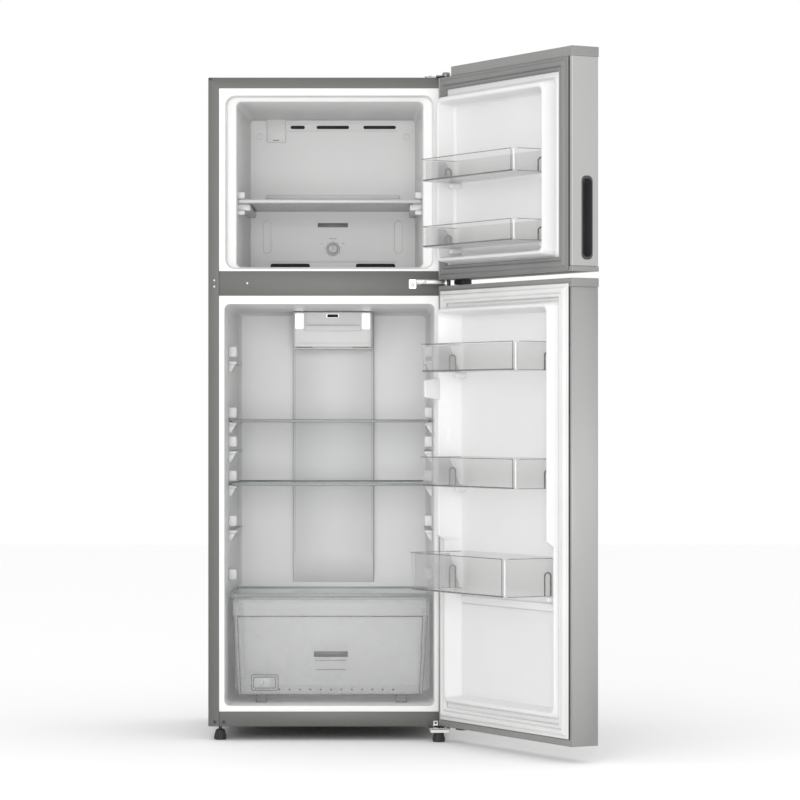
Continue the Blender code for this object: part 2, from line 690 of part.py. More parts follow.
def make_condensing_parts():
    """Compressor and drain pan in the niche, and the coil behind the rear panel."""
    floor = BASE + 0.0015 + GAP
    where = (0.115, DEPTH - 0.108, floor)
    compressor = turned(
        "compressor",
        (
            (0.060, 0.010), (0.076, 0.022), (0.080, 0.060), (0.080, 0.100),
            (0.074, 0.125), (0.052, 0.146), (0.020, 0.152),
        ),
        where, (0.0, 0.0, 1.0), 20, BLACK_PLASTIC,
    )
    unite(
        compressor,
        block(
            "foot_plate", (where[0] - 0.090, where[1] - 0.075, floor),
            (where[0] + 0.090, where[1] + 0.075, floor + 0.012), BLACK_PLASTIC, 0.010, 2,
        ),
        block(
            "relay_box", (where[0] - 0.115, where[1] - 0.030, floor + 0.045),
            (where[0] - 0.070, where[1] + 0.030, floor + 0.100), BLACK_PLASTIC,
        ),
    )
    pan_left, pan_right, pan_wall = -HALF + 0.035, -0.040, 0.0025
    pan_front, pan_back, pan_low = NICHE_FRONT + 0.020, DEPTH - 0.025, floor + 0.010
    pan = block(
        "drain_pan", (pan_left, pan_front, pan_low), (pan_right, pan_back, pan_low + 0.045),
        BLACK_PLASTIC, 0.010, 2,
    )
    cut(
        pan,
        space(
            (pan_left + pan_wall, pan_front + pan_wall, pan_low + pan_wall),
            (pan_right - pan_wall, pan_back - pan_wall, pan_low + 0.100), 0.008, 2,
        ),
    )
    tube = bpy.data.curves.new("condenser_coil", "CURVE")
    tube.dimensions = "3D"
    tube.bevel_depth = 0.0024
    tube.bevel_resolution = 1
    tube.use_fill_caps = True
    runs = 9
    reach, low, high = HALF - 0.065, NICHE_TOP + 0.060, TOP - 0.120
    pitch = (high - low) / (runs - 1)
    turn_steps = 6
    points = []
    for run in range(runs):
        z = low + run * pitch
        side = 1 if run % 2 == 0 else -1
        points.append((-side * reach, z))
        points.append((side * reach, z))
        if run < runs - 1:
            for step in range(1, turn_steps):
                angle = -math.pi / 2 + math.pi * step / turn_steps
                points.append((
                    side * (reach + pitch / 2 * 0.5 * math.cos(angle)),
                    z + pitch / 2 + pitch / 2 * math.sin(angle),
                ))
    line = tube.splines.new("POLY")
    line.points.add(len(points) - 1)
    coil_y = DEPTH - 0.0015 - 0.0036
    for point, (x, z) in zip(line.points, points):
        point.co = (x, coil_y, z, 1.0)
    coil = bpy.data.objects.new("condenser_coil", tube)
    bpy.context.scene.collection.objects.link(coil)
    tube.materials.append(COPPER_TUBE)
    inlet_x, inlet_z = -HALF + 0.040, NICHE_TOP - 0.055
    inlet = block(
        "power_inlet", (inlet_x - 0.020, DEPTH - 0.030, inlet_z - 0.020),
        (inlet_x + 0.020, DEPTH - 0.004, inlet_z + 0.020), BLACK_PLASTIC, 0.004, 1,
    )
    cut(inlet, hole(0.006, (inlet_x, DEPTH - 0.020, inlet_z), (inlet_x, DEPTH + 0.01, inlet_z)))


def make_fridge_fittings():
    """Air duct down the fridge's back, and the lamp and damper housing at its top."""
    back = FRIDGE_DEPTH - GAP - 0.0006
    top = FRIDGE_HIGH - 0.0085
    side = [
        (back, DUCT_LOW), (DUCT_FACE + 0.014, DUCT_LOW), (DUCT_FACE + 0.004, DUCT_LOW + 0.030),
        (DUCT_FACE, DUCT_LOW + 0.070), (DUCT_FACE, top), (back, top),
    ]
    form = bmesh.new()
    face = form.faces.new([form.verts.new((-DUCT_HALF, y, z)) for y, z in side])
    grown = bmesh.ops.extrude_face_region(form, geom=[face])
    moved = [item for item in grown["geom"] if isinstance(item, bmesh.types.BMVert)]
    bmesh.ops.translate(form, vec=(2 * DUCT_HALF, 0.0, 0.0), verts=moved)
    bmesh.ops.recalc_face_normals(form, faces=form.faces)
    duct = as_object("air_duct", form, LINER_WHITE)
    cut(
        duct,
        space((-DUCT_HALF + 0.012, DUCT_FACE + 0.008, DUCT_LOW + 0.080),
              (DUCT_HALF - 0.012, FRIDGE_DEPTH + 0.01, top - 0.012)),
    )
    outlets = [FRIDGE_HIGH - drop for drop in OUTLET_DROPS]
    cut(
        duct,
        *[
            space((-DUCT_HALF - 0.01, DUCT_FACE + OUTLET_FRONT, z - OUTLET_TALL / 2),
                  (DUCT_HALF + 0.01, DUCT_FACE + OUTLET_BACK, z + OUTLET_TALL / 2))
            for z in outlets
        ],
    )
    ceiling = FRIDGE_HIGH - HOUSING_DROP
    low_edge = ceiling - HOUSING_HEIGHT
    housing_back = DUCT_FACE - GAP
    housing = loft(
        "control_housing",
        [
            [(x, y, low_edge) for x, y in
             rounded(-HOUSING_HALF, HOUSING_HALF, HOUSING_FACE + 0.010, housing_back, 0.006)],
            [(x, y, low_edge + 0.008) for x, y in
             rounded(-HOUSING_HALF, HOUSING_HALF, HOUSING_FACE, housing_back, 0.006)],
            [(x, y, ceiling) for x, y in
             rounded(-HOUSING_HALF, HOUSING_HALF, HOUSING_FACE, housing_back, 0.006)],
        ],
        LINER_WHITE,
        close_first=True,
    )
    window_low, window_high = ceiling - 0.045, ceiling - 0.004
    cut(
        housing,
        space((-HOUSING_HALF + 0.0025, HOUSING_FACE + 0.016, low_edge + 0.006),
              (HOUSING_HALF - 0.0025, housing_back + 0.01, ceiling - 0.0025)),
        space((-0.074, HOUSING_FACE - 0.01, ceiling - 0.045), (0.074, HOUSING_FACE + 0.008,
                                                               ceiling + 0.01)),
        *[
            space((low, HOUSING_FACE - 0.01, window_low), (high, HOUSING_FACE + 0.030, window_high),
                  0.003, 1)
            for low, high in ((-0.098, -0.078), (0.078, 0.098))
        ],
    )
    block(
        "light_lens", (-0.1005, HOUSING_FACE + 0.0165, window_low - 0.004),
        (0.1005, HOUSING_FACE + 0.0205, window_high + 0.0005), SHELF_GLASS,
    )


# ---------------------------------------------------------------- hinges and fasteners
def make_hinges():
    """Top, middle and bottom hinges at the right, each a bent plate with its own pin."""
    pin_top = TOP + GAP + PLATE
    top = block(
        "top_hinge", (PIN_X - 0.053, 0.006, TOP + GAP), (PIN_X + 0.007, 0.060, pin_top),
        ZINC_STEEL, 0.004, 2,
    )
    unite(
        top,
        block("arm", (PIN_X - 0.025, PIN_Y, TOP + GAP), (PIN_X + 0.010, 0.010, pin_top), ZINC_STEEL),
        rod("boss", 0.0100, (PIN_X, PIN_Y, TOP + GAP), (PIN_X, PIN_Y, pin_top + 0.006),
            ZINC_STEEL, 16),
        rod("pin", PIN_RADIUS, (PIN_X, PIN_Y, pin_top - 0.001), (PIN_X, PIN_Y, TOP - 0.014),
            ZINC_STEEL),
        *[
            rod("screw", 0.0060, (x, y, pin_top - 0.001), (x, y, pin_top + 0.004), ZINC_STEEL)
            for x, y in ((PIN_X - 0.039, 0.030), (PIN_X - 0.007, 0.045))
        ],
    )
    arm_low = FRIDGE_DOOR_HIGH + 0.0048
    arm_high = arm_low + PLATE
    tab_x, tab_wide = PIN_X - 0.093, 0.018
    screw = (tab_x + tab_wide / 2, arm_low - 0.001)
    middle = block(
        "middle_hinge", (tab_x, -FRONT_GAP - PLATE, arm_low),
        (PIN_X - 0.003, -FRONT_GAP, FREEZER_SEAL_LOW - GAP), BRIGHT_STEEL,
    )
    unite(
        middle,
        block("tab", (tab_x, -FRONT_GAP - PLATE, arm_low - 0.010),
              (tab_x + tab_wide, -FRONT_GAP, arm_high), BRIGHT_STEEL, 0.003, 1),
        block("arm", (PIN_X - 0.063, PIN_Y - 0.004, arm_low), (PIN_X + 0.005, -0.0015, arm_high),
              BRIGHT_STEEL),
        rod("end", 0.0105, (PIN_X, PIN_Y, arm_low), (PIN_X, PIN_Y, arm_high), BRIGHT_STEEL, 16),
        rod("pin", PIN_RADIUS, (PIN_X, PIN_Y, arm_low - 0.016), (PIN_X, PIN_Y, arm_high + 0.018),
            BRIGHT_STEEL),
    )
    cut(middle, hole(0.0026, (screw[0], -0.02, screw[1]), (screw[0], 0.02, screw[1])))
    turned(
        "middle_hinge_screw",
        ((0.0045, 0.0), (0.0045, 0.0015), (0.0030, 0.0028)),
        (screw[0], -FRONT_GAP - PLATE - GAP, screw[1]), (0.0, -1.0, 0.0), 12, BRIGHT_STEEL,
    )
    plate_top = BASE - GAP
    plate_low = plate_top - PLATE
    front = PIN_Y - 0.018
    bottom = block(
        "bottom_hinge", (PIN_X - 0.0435, front, plate_low), (PIN_X + 0.010, 0.040, plate_top),
        BRIGHT_STEEL, 0.004, 2,
    )
    unite(
        bottom,
        block("lip", (PIN_X - 0.0395, front, plate_low - 0.008),
              (PIN_X + 0.006, front + PLATE, plate_top - 0.001), BRIGHT_STEEL),
        block("tab", (PIN_X - 0.0315, -FRONT_GAP - PLATE, plate_low),
              (PIN_X - 0.0205, -FRONT_GAP, plate_top + 0.015), BRIGHT_STEEL, 0.002, 1),
        rod("pin", PIN_RADIUS, (PIN_X, PIN_Y, plate_low + 0.001), (PIN_X, PIN_Y, plate_top + 0.020),
            BRIGHT_STEEL),
    )
    cut(
        bottom,
        hole(STEM_RADIUS + PLAY, (*RIGHT_FOOT, plate_low - 0.01), (*RIGHT_FOOT, plate_top + 0.01)),
    )


# ---------------------------------------------------------------- feet and rollers
def make_feet():
    for name, (x, y) in (("front_left_foot", LEFT_FOOT), ("front_right_foot", RIGHT_FOOT)):
        turned(
            name,
            (
                (FOOT_RADIUS - 0.0012, 0.0), (FOOT_RADIUS, 0.0015), (FOOT_RADIUS - 0.001, 0.006),
                (FOOT_TOP_RADIUS + 0.001, FOOT_HEIGHT - 0.004), (FOOT_TOP_RADIUS - 0.002, FOOT_HEIGHT),
                (STEM_RADIUS, FOOT_HEIGHT), (STEM_RADIUS, BASE + 0.002),
            ),
            (x, y, 0.0), (0.0, 0.0, 1.0), 16, BLACK_PLASTIC,
        )
    for name, side in (("rear_left_roller", -1), ("rear_right_roller", 1)):
        wide = ROLLER_WIDE / 2
        axle = wide + 0.004
        turned(
            name,
            (
                (0.0030, -axle), (0.0030, -wide), (ROLLER_RADIUS, -wide), (ROLLER_RADIUS, wide),
                (0.0030, wide), (0.0030, axle),
            ),
            (side * ROLLER_X, ROLLER_Y, ROLLER_RADIUS), (1.0, 0.0, 0.0), 20, BLACK_PLASTIC,
        )


# ---------------------------------------------------------------- shelves and drawer
def make_glass_shelf(name, trim_name, low):
    back = SHELF_FRONT + SHELF_DEPTH
    block(
        name, (-SHELF_HALF, SHELF_FRONT + 0.003, low), (SHELF_HALF, back, low + GLASS), SHELF_GLASS
    )
    trim = block(
        trim_name, (-SHELF_HALF, SHELF_FRONT, low - 0.0012),
        (SHELF_HALF, SHELF_FRONT + TRIM_DEPTH, low - 0.0012 + TRIM_HEIGHT), TRIM_GREY,
    )
    cut(
        trim,
        space((-SHELF_HALF - 0.01, SHELF_FRONT + 0.003 - GAP, low - GAP),
              (SHELF_HALF + 0.01, back, low + GLASS + GAP)),
    )


def make_crisper():
    """Cover shelf over the drawer, the drawer, and the slider of its air window."""
    low = CRISPER_COVER
    cover = block(
        "crisper_cover", (-SHELF_HALF, CRISPER_FRONT, low),
        (SHELF_HALF, CRISPER_FRONT + CRISPER_COVER_DEPTH, low + GLASS), SHELF_GLASS,
    )
    unite(
        cover,
        block(
            "front_trim", (-SHELF_HALF, CRISPER_FRONT - 0.004, low - 0.0015),
            (SHELF_HALF, CRISPER_FRONT + 0.010, low + 0.0075), SHELF_GLASS,
        ),
    )
    half, lower_half = DRAWER_HALF, DRAWER_HALF - DRAWER_TAPER
    front, back = CRISPER_FRONT + 0.006, CRISPER_FRONT + 0.006 + DRAWER_DEPTH
    top = DRAWER_LOW + DRAWER_HEIGHT
    wall = DRAWER_WALL

    def ring(half_wide, inset, z):
        return [
            (x, y, z)
            for x, y in rounded(-half_wide, half_wide, front + inset, back - inset, 0.014)
        ]

    drawer = loft(
        "crisper_drawer",
        [
            ring(lower_half, 0.006, DRAWER_LOW),
            ring(half, 0.0, top),
            ring(half - wall, wall, top),
            ring(lower_half - wall, 0.006 + wall, DRAWER_LOW + wall),
        ],
        CLEAR_PLASTIC,
        close_first=True,
    )
    # Humidity window in the front, low at the left.
    window_x, window_z = -DRAWER_HALF + 0.082, DRAWER_LOW + 0.0325
    slope = 0.006 / DRAWER_HEIGHT
    face = front + 0.006 - slope * (window_z - DRAWER_LOW)
    cut(
        drawer,
        space((window_x - 0.024, face - 0.01, window_z - 0.011),
              (window_x + 0.024, face + 0.02, window_z + 0.011), 0.004, 1),
    )
    slider = block(
        "humidity_slider", (window_x - 0.030, face + wall + 0.0018, window_z - 0.015),
        (window_x + 0.014, face + wall + 0.0038, window_z + 0.015), CLEAR_PLASTIC,
    )
    unite(
        slider,
        block("grip", (window_x - 0.012, face - 0.003, window_z - 0.007),
              (window_x - 0.004, face + wall + 0.0024, window_z + 0.007), CLEAR_PLASTIC),
    )


def make_freezer_shelf():
    """Moulded shelf: a thin deck with a deeper bar along its front."""
    low = FREEZER_SHELF
    shelf = block(
        "freezer_shelf", (-FREEZER_SHELF_HALF, FREEZER_SHELF_FRONT + 0.004, low),
        (FREEZER_SHELF_HALF, FREEZER_SHELF_FRONT + FREEZER_SHELF_DEPTH, low + 0.003), TRIM_GREY,
    )
    wide = FREEZER_HALF - 0.004
    unite(
        shelf,
        block("front_bar", (-wide, FREEZER_SHELF_FRONT, low - 0.001),
              (wide, FREEZER_SHELF_FRONT + 0.012, low + 0.0088), TRIM_GREY, 0.002, 0),
    )


# ---------------------------------------------------------------- doors
def door_ring(low_x, high_x, low_z, high_z, rise, radius, breaks=(), lower_rise=None):
    """A ring round a door's inner side; rise is its height above the door's inner plane.

    Below the break the ring has lower_rise, where that is given.
    """
    ring = []
    for x, z in rounded(low_x, high_x, low_z, high_z, radius, breaks):
        here = lower_rise if lower_rise is not None and breaks and z < max(breaks) - 1e-6 else rise
        ring.append((x, INNER_PLANE + here, z))
    return ring


def make_skin(name, low, high):
    """Folded steel front with its side walls and their returns on the inner side."""
    side, front, back = DOOR_SIDE, OUTER_PLANE, INNER_PLANE

    def half_outline(inset):
        radius = SKIN_CORNER - inset
        centre_x, centre_y = side - SKIN_CORNER, front + SKIN_CORNER
        arc = []
        for step in range(CORNER_STEPS + 1):
            angle = -math.pi / 2 + step * math.pi / 2 / CORNER_STEPS
            arc.append((centre_x + radius * math.cos(angle), centre_y + radius * math.sin(angle)))
        return arc + [
            (side - inset, back - inset),
            (side - SKIN_RETURN, back - inset),
        ]

    outer, inner = half_outline(0.0), half_outline(SHEET)
    right = outer
    left = [(-x, y) for x, y in reversed(outer)]
    inner_right = list(reversed(inner))
    inner_left = [(-x, y) for x, y in inner]
    return prism(name, left + right + inner_right + inner_left, low, high, SKIN_STEEL)


def make_gasket(name, low, high, material):
    """Magnetic seal: a ring with two grooves along its face."""
    near = INNER_PLANE + GAP
    face = near + GASKET_THICK

    def ring(inset, y, radius):
        return [
            (x, y, z)
            for x, z in rounded(
                -GASKET_SIDE + inset, GASKET_SIDE - inset, low + inset, high - inset, radius
            )
        ]

    form = bmesh.new()
    groove = 0.0025
    third = GASKET_WIDE / 3
    profile = [
        (0.0, near), (0.001, face - 0.003), (0.004, face), (third - groove, face),
        (third, face - 0.004), (third + groove, face), (2 * third - groove, face),
        (2 * third, face - 0.004), (2 * third + groove, face), (GASKET_WIDE - 0.003, face),
        (GASKET_WIDE, face - 0.004), (GASKET_WIDE, near),
    ]
    loops = [
        [form.verts.new(point) for point in ring(inset, y, 0.006)] for inset, y in profile
    ]
    count = len(loops[0])
    for near_loop, far_loop in zip(loops, loops[1:] + loops[:1]):
        for i in range(count):
            j = (i + 1) % count
            form.faces.new((near_loop[i], near_loop[j], far_loop[j], far_loop[i]))
    bmesh.ops.recalc_face_normals(form, faces=form.faces)
    return as_object(name, form, material)


def bin_lugs(low_x, high_x, height):
    """Two lugs that a door bin stands on, one at each end."""
    made = []
    for x in (low_x + 0.004, high_x - 0.018):
        made.append(
            block("lug", (x, INNER_PLANE + DOOR_FLOOR - ROOT, height - 0.012 - GAP),
                  (x + 0.014, INNER_PLANE + DOOR_FLOOR + 0.030, height - GAP), LINER_WHITE)
        )
    return made


def make_bin(name, low_x, high_x, reach, low, high):
    """Clear door bin, open at the top and narrowing slightly to its floor."""
    rear = INNER_PLANE + DOOR_FLOOR + PLAY
    front = INNER_PLANE + reach
    lean = 0.003

    def ring(inset, z):
        return [
            (x, y, z)
            for x, y in rounded(low_x + inset, high_x - inset, rear + inset, front - inset, CORNER)
        ]

    loft(
        name,
        [
            ring(lean, low), ring(0.0, high), ring(BIN_WALL, high),
            ring(lean + BIN_WALL, low + BIN_WALL),
        ],
        CLEAR_PLASTIC,
        close_first=True,
    )


DOORS = {}


def make_freezer_door():
    low, high = FREEZER_DOOR_LOW, FREEZER_DOOR_HIGH
    skin_low, skin_high = low + FREEZER_BOTTOM_CAP + GAP, high - TOP_CAP - GAP
    seal_low, seal_high = FREEZER_SEAL_LOW, FREEZER_SEAL_HIGH
    skin = make_skin("freezer_door_skin", skin_low, skin_high)
    near, far = INNER_PLANE - POCKET_NEAR, INNER_PLANE - POCKET_FAR
    cut(
        skin,
        space((-DOOR_SIDE - 0.01, far, POCKET_LOW), (-DOOR_SIDE + 0.01, near, POCKET_HIGH),
              0.012, 0),
    )

    def pocket_ring(inset, x):
        return [
            (x, y, z)
            for y, z in rounded(far + inset, near - inset, POCKET_LOW + inset,
                                POCKET_HIGH - inset, 0.0105)
        ]

    floor_x = -DOOR_SIDE + POCKET_DEEP
    loft(
        "freezer_handle_pocket",
        [
            pocket_ring(0.0016, -DOOR_SIDE - 0.0004),
            pocket_ring(0.0012, -DOOR_SIDE - 0.0004),
            pocket_ring(0.0012, floor_x + POCKET_WALL),
        ],
        POCKET_BLACK,
        close_first=True,
    )
    cut(
        bpy.data.objects["freezer_handle_pocket"],
        space((-DOOR_SIDE - 0.01, far + 0.0012 + POCKET_WALL, POCKET_LOW + 0.0012 + POCKET_WALL),
              (floor_x, near - 0.0012 - POCKET_WALL, POCKET_HIGH - 0.0012 - POCKET_WALL),
              0.009, 0),
    )

    lip = GASKET_LAP
    liner_side = GASKET_SIDE - lip
    hinge_dike, free_dike = HALF - DIKE_EDGE, -HALF + FREE_DIKE_EDGE
    bottom, top = FREEZER_LOW + 0.004, FREEZER_HIGH - 0.002
    liner = loft(
        "freezer_door_liner",
        [
            door_ring(-liner_side, liner_side, seal_low + lip, seal_high - lip, 0.0, 0.004),
            door_ring(free_dike - 0.008, hinge_dike + 0.003, bottom - 0.005, top + 0.014, 0.0, 0.010),
            door_ring(free_dike - 0.002, hinge_dike, bottom, top + 0.004, FREEZER_DIKE - 0.004, 0.014),
            door_ring(free_dike, hinge_dike - 0.003, bottom + 0.002, top, FREEZER_DIKE, 0.014),
            door_ring(free_dike + 0.008, hinge_dike - 0.008, bottom + 0.008, top - 0.008,
                      FREEZER_DIKE, 0.014),
            door_ring(free_dike + 0.012, hinge_dike - 0.020, bottom + 0.016, top - 0.020,
                      DOOR_FLOOR, 0.014),
        ],
        LINER_WHITE,
        LINER_WALL,
        1.0,
    )
    bins = (
        ("upper_freezer_bin", FREEZER_LOW + 0.198, 0.0571),
        ("lower_freezer_bin", FREEZER_LOW + 0.035, 0.0537),
    )
    bin_low_x, bin_high_x = free_dike + 0.027, hinge_dike - 0.029
    unite(liner, *[
        lug for _, bin_low, _ in bins for lug in bin_lugs(bin_low_x, bin_high_x, bin_low)
    ])
    for name, bin_low, tall in bins:
        make_bin(name, bin_low_x, bin_high_x, 0.104, bin_low, bin_low + tall)
    make_gasket("freezer_door_gasket", seal_low, seal_high, GASKET_GREY)

    side = DOOR_SIDE
    notch_x = side - NOTCH
    cap_low = high - TOP_CAP
    cap = block(
        "freezer_door_top_cap", (-side, OUTER_PLANE, cap_low), (notch_x, INNER_PLANE, high),
        CAP_GREY, 0.003, 2,
    )
    hollow = space((-side + CAP_WALL, OUTER_PLANE + CAP_WALL, cap_low - 0.01),
                   (notch_x - 0.008, INNER_PLANE - CAP_WALL, high - CAP_WALL))
    cut(cap, hollow)
    notch_top = high - NOTCH_DEEP
    unite(
        cap,
        block("hinge_end", (notch_x - 0.006, OUTER_PLANE + 0.002, notch_top - 0.012),
              (side - 0.002, INNER_PLANE - 0.004, notch_top), CAP_GREY, 0.003, 2),
        block("post", (notch_x - 0.007, OUTER_PLANE + 0.003, notch_top - 0.012),
              (notch_x - 0.001, INNER_PLANE - 0.005, cap_low + 0.006), CAP_GREY),
    )
    corner_x = -side
    cover_wide, cover_low = 0.034, cap_low + 0.006
    cut(
        cap,
        hole(PIN_RADIUS + PIN_PLAY, (PIN_X, PIN_Y, notch_top - 0.03), (PIN_X, PIN_Y, high)),
        space((corner_x - 0.01, OUTER_PLANE + 0.012, cover_low),
              (corner_x + cover_wide, INNER_PLANE + 0.01, high + 0.01)),
    )
    block(
        "hinge_hole_cover", (corner_x, OUTER_PLANE + 0.012 + GAP, cover_low + GAP),
        (corner_x + cover_wide - GAP, INNER_PLANE, high), CAP_GREY, 0.002, 2,
    )

    bottom_cap = block(
        "freezer_door_bottom_cap", (-side, OUTER_PLANE, low),
        (side, INNER_PLANE - LINER_WALL - GAP, low + FREEZER_BOTTOM_CAP), CAP_GREY, 0.003, 2,
    )
    cut(
        bottom_cap,
        space((-side + CAP_WALL, OUTER_PLANE + CAP_WALL, low + CAP_WALL),
              (side - BOSS, INNER_PLANE - LINER_WALL - 0.004, low + 0.1)),
    )
    unite(
        bottom_cap,
        block("inner_lip", (-side, INNER_PLANE - 0.004, low), (side, INNER_PLANE, seal_low - GAP),
              CAP_GREY),
    )
    cut(
        bottom_cap,
        hole(PIN_RADIUS + PIN_PLAY, (PIN_X, PIN_Y, low - 0.01), (PIN_X, PIN_Y, low + 0.05)),
    )
    block(
        "freezer_door_stop", (PIN_X - 0.037, OUTER_PLANE + 0.006, low - STOP_HEIGHT - GAP),
        (PIN_X + 0.007, OUTER_PLANE + 0.034, low - GAP), BLACK_PLASTIC, 0.004, 2,
    )
    foam = block(
        "freezer_door_insulation",
        (-side + SHEET + GAP, OUTER_PLANE + SHEET + GAP, low + FREEZER_BOTTOM_CAP + 0.002),
        (side - BOSS, INNER_PLANE - 0.0150, notch_top - 0.014), FOAM_YELLOW, 0.006, 2,
    )
    cut(
        foam,
        space((-side - 0.01, far - 0.002, POCKET_LOW - 0.002),
              (floor_x + POCKET_WALL + 0.001, near + 0.02, POCKET_HIGH + 0.002)),
    )
    DOORS["freezer_door"] = [
        "freezer_door_skin", "freezer_handle_pocket", "freezer_door_liner", "upper_freezer_bin",
        "lower_freezer_bin", "freezer_door_gasket", "freezer_door_top_cap", "hinge_hole_cover",
        "freezer_door_bottom_cap", "freezer_door_stop", "freezer_door_insulation",
    ]


def make_fridge_door():
    low, high = FRIDGE_DOOR_LOW, FRIDGE_DOOR_HIGH
    make_skin("fridge_door_skin", low + BOTTOM_CAP + GAP, high - FRIDGE_TOP_CAP - GAP)
    seal_low, seal_high = FRIDGE_SEAL_LOW, FRIDGE_SEAL_HIGH
    lip = GASKET_LAP
    liner_side = GASKET_SIDE - lip
    breaks = (STEP_LOW, STEP_LOW + 0.014)
    dike = HALF - DIKE_EDGE + 0.001
    bottom, top = FRIDGE_LOW + 0.0185, FRIDGE_HIGH - 0.014

    def dike_ring(half_add, high_side, z_in, rise, lower_rise):
        return door_ring(
            -dike - half_add, dike + half_add - high_side, bottom + z_in, top - z_in, rise, 0.014,
            breaks, lower_rise,
        )

    liner = loft(
        "fridge_door_liner",
        [
            door_ring(-liner_side, liner_side, seal_low + lip, seal_high - lip, 0.0, 0.004, breaks, 0.0),
            dike_ring(0.004, 0.0, -0.006, 0.0, 0.0),
            dike_ring(0.000, 0.0, 0.000, DIKE - 0.003, LOWER_DIKE - 0.003),
            dike_ring(-0.003, 0.0, 0.003, DIKE, LOWER_DIKE),
            dike_ring(-0.009, 0.0, 0.009, DIKE, LOWER_DIKE),
            dike_ring(-0.014, 0.034, 0.020, DOOR_FLOOR, DOOR_FLOOR),
        ],
        LINER_WHITE,
        LINER_WALL,
        1.0,
    )
    bins = (
        ("upper_door_bin", 0.117, UPPER_SHELF + 0.1224, 0.0712),
        ("middle_door_bin", 0.117, LOWER_SHELF + 0.0038, 0.0741),
        ("lower_door_bin", 0.147, CRISPER_COVER + 0.0305, 0.0940),
    )
    lugs = [
        block("bumper", (dike - 0.013, INNER_PLANE + DIKE - 0.006, UPPER_SHELF + 0.056),
              (dike - 0.003, INNER_PLANE + DIKE + 0.030, UPPER_SHELF + 0.110), LINER_WHITE,
              0.004, 0),
    ]
    low_x, high_x = -dike + 0.017, dike - 0.0500
    for _, _, bin_low, _ in bins:
        lugs += bin_lugs(low_x, high_x, bin_low)
    unite(liner, *lugs)
    for name, reach, bin_low, tall in bins:
        make_bin(name, low_x, high_x, reach, bin_low, bin_low + tall)
    make_gasket("fridge_door_gasket", seal_low, seal_high, GASKET_WHITE)

    side = DOOR_SIDE
    cap_low = high - FRIDGE_TOP_CAP
    cap = block(
        "fridge_door_top_cap", (-side, OUTER_PLANE, cap_low),
        (side, INNER_PLANE - LINER_WALL - GAP, high), CAP_GREY, 0.003, 2,
    )
    cut(
        cap,
        space((-side + CAP_WALL, OUTER_PLANE + CAP_WALL, cap_low - 0.01),
              (side - BOSS, INNER_PLANE - LINER_WALL - 0.004, high - CAP_WALL)),
    )
    unite(
        cap,
        block("inner_lip", (-side, INNER_PLANE - 0.004, seal_high + GAP), (side, INNER_PLANE, high),
              CAP_GREY),
    )
    cut(
        cap,
        hole(PIN_RADIUS + PIN_PLAY, (PIN_X, PIN_Y, cap_low - 0.01), (PIN_X, PIN_Y, high + 0.01)),
    )
    bottom_cap = block(
        "fridge_door_bottom_cap", (-side, OUTER_PLANE, low), (side, INNER_PLANE, low + BOTTOM_CAP),
        CAP_GREY, 0.003, 2,
    )
    cut(
        bottom_cap,
        space((-side + CAP_WALL, OUTER_PLANE + CAP_WALL, low + CAP_WALL),
              (side - BOSS, INNER_PLANE - CAP_WALL, low + 0.1)),
        hole(PIN_RADIUS + PIN_PLAY, (PIN_X, PIN_Y, low - 0.01), (PIN_X, PIN_Y, low + 0.05)),
    )
    block(
        "fridge_door_stop", (PIN_X - 0.025, OUTER_PLANE + 0.006, low - STOP_HEIGHT - GAP),
        (PIN_X + 0.007, OUTER_PLANE + 0.030, low - GAP), BLACK_PLASTIC, 0.004, 2,
    )
    block(
        "fridge_door_insulation",
        (-side + SHEET + GAP, OUTER_PLANE + SHEET + GAP, low + BOTTOM_CAP + 0.002),
        (side - BOSS, INNER_PLANE - 0.0150, cap_low - 0.002), FOAM_YELLOW, 0.006, 2,
    )
    DOORS["fridge_door"] = [
        "fridge_door_skin", "fridge_door_liner", "upper_door_bin", "middle_door_bin",
        "lower_door_bin", "fridge_door_gasket", "fridge_door_top_cap", "fridge_door_bottom_cap",
        "fridge_door_stop", "fridge_door_insulation",
    ]


# ---------------------------------------------------------------- assembly
def axis_empty(name, place, parent=None):
    empty = bpy.data.objects.new(name, None)
    bpy.context.scene.collection.objects.link(empty)
    empty.location = place
    empty.parent = parent
    return empty


def hang(names, empty, place):
    """Puts objects under an empty that stands at place, leaving them where they are."""
    for name in names:
        piece = bpy.data.objects[name]
        piece.parent = empty
        piece.location = -Vector(place)


def assemble():
    """Hangs the doors and moving pieces on their axes, opens the doors, and sets the origin."""
    whole = axis_empty("refrigerator", (0.0, 0.0, 0.0))
    hinge = (PIN_X, PIN_Y, 0.0)
    for door, names in DOORS.items():
        swing = axis_empty(door + "_axis", hinge, whole)
        hang(names, swing, hinge)
        swing.rotation_euler = (0.0, 0.0, DOOR_OPEN)
    moving = {
        "temperature_knob": (0.0, COVER_FACE, KNOB_HEIGHT),
        "evaporator_fan": (0.0, COVER_FACE, FAN_HEIGHT),
        "front_left_foot": (*LEFT_FOOT, 0.0),
        "front_right_foot": (*RIGHT_FOOT, 0.0),
        "rear_left_roller": (-ROLLER_X, ROLLER_Y, ROLLER_RADIUS),
        "rear_right_roller": (ROLLER_X, ROLLER_Y, ROLLER_RADIUS),
    }
    for name, place in moving.items():
        hang([name], axis_empty(name + "_axis", place, whole), place)
    for piece in bpy.data.objects:
        if piece.parent is None and piece is not whole:
            piece.parent = whole
    bpy.context.view_layer.update()
    graph = bpy.context.evaluated_depsgraph_get()
    corners = []
    for piece in bpy.data.objects:
        if piece.type != "EMPTY":
            shaped = piece.evaluated_get(graph)
            corners += [piece.matrix_world @ vertex.co for vertex in shaped.to_mesh().vertices]
            shaped.to_mesh_clear()
    low = Vector([min(c[i] for c in corners) for i in range(3)])
    high = Vector([max(c[i] for c in corners) for i in range(3)])
    whole.location = (-(low.x + high.x) / 2, -(low.y + high.y) / 2, 0.0)


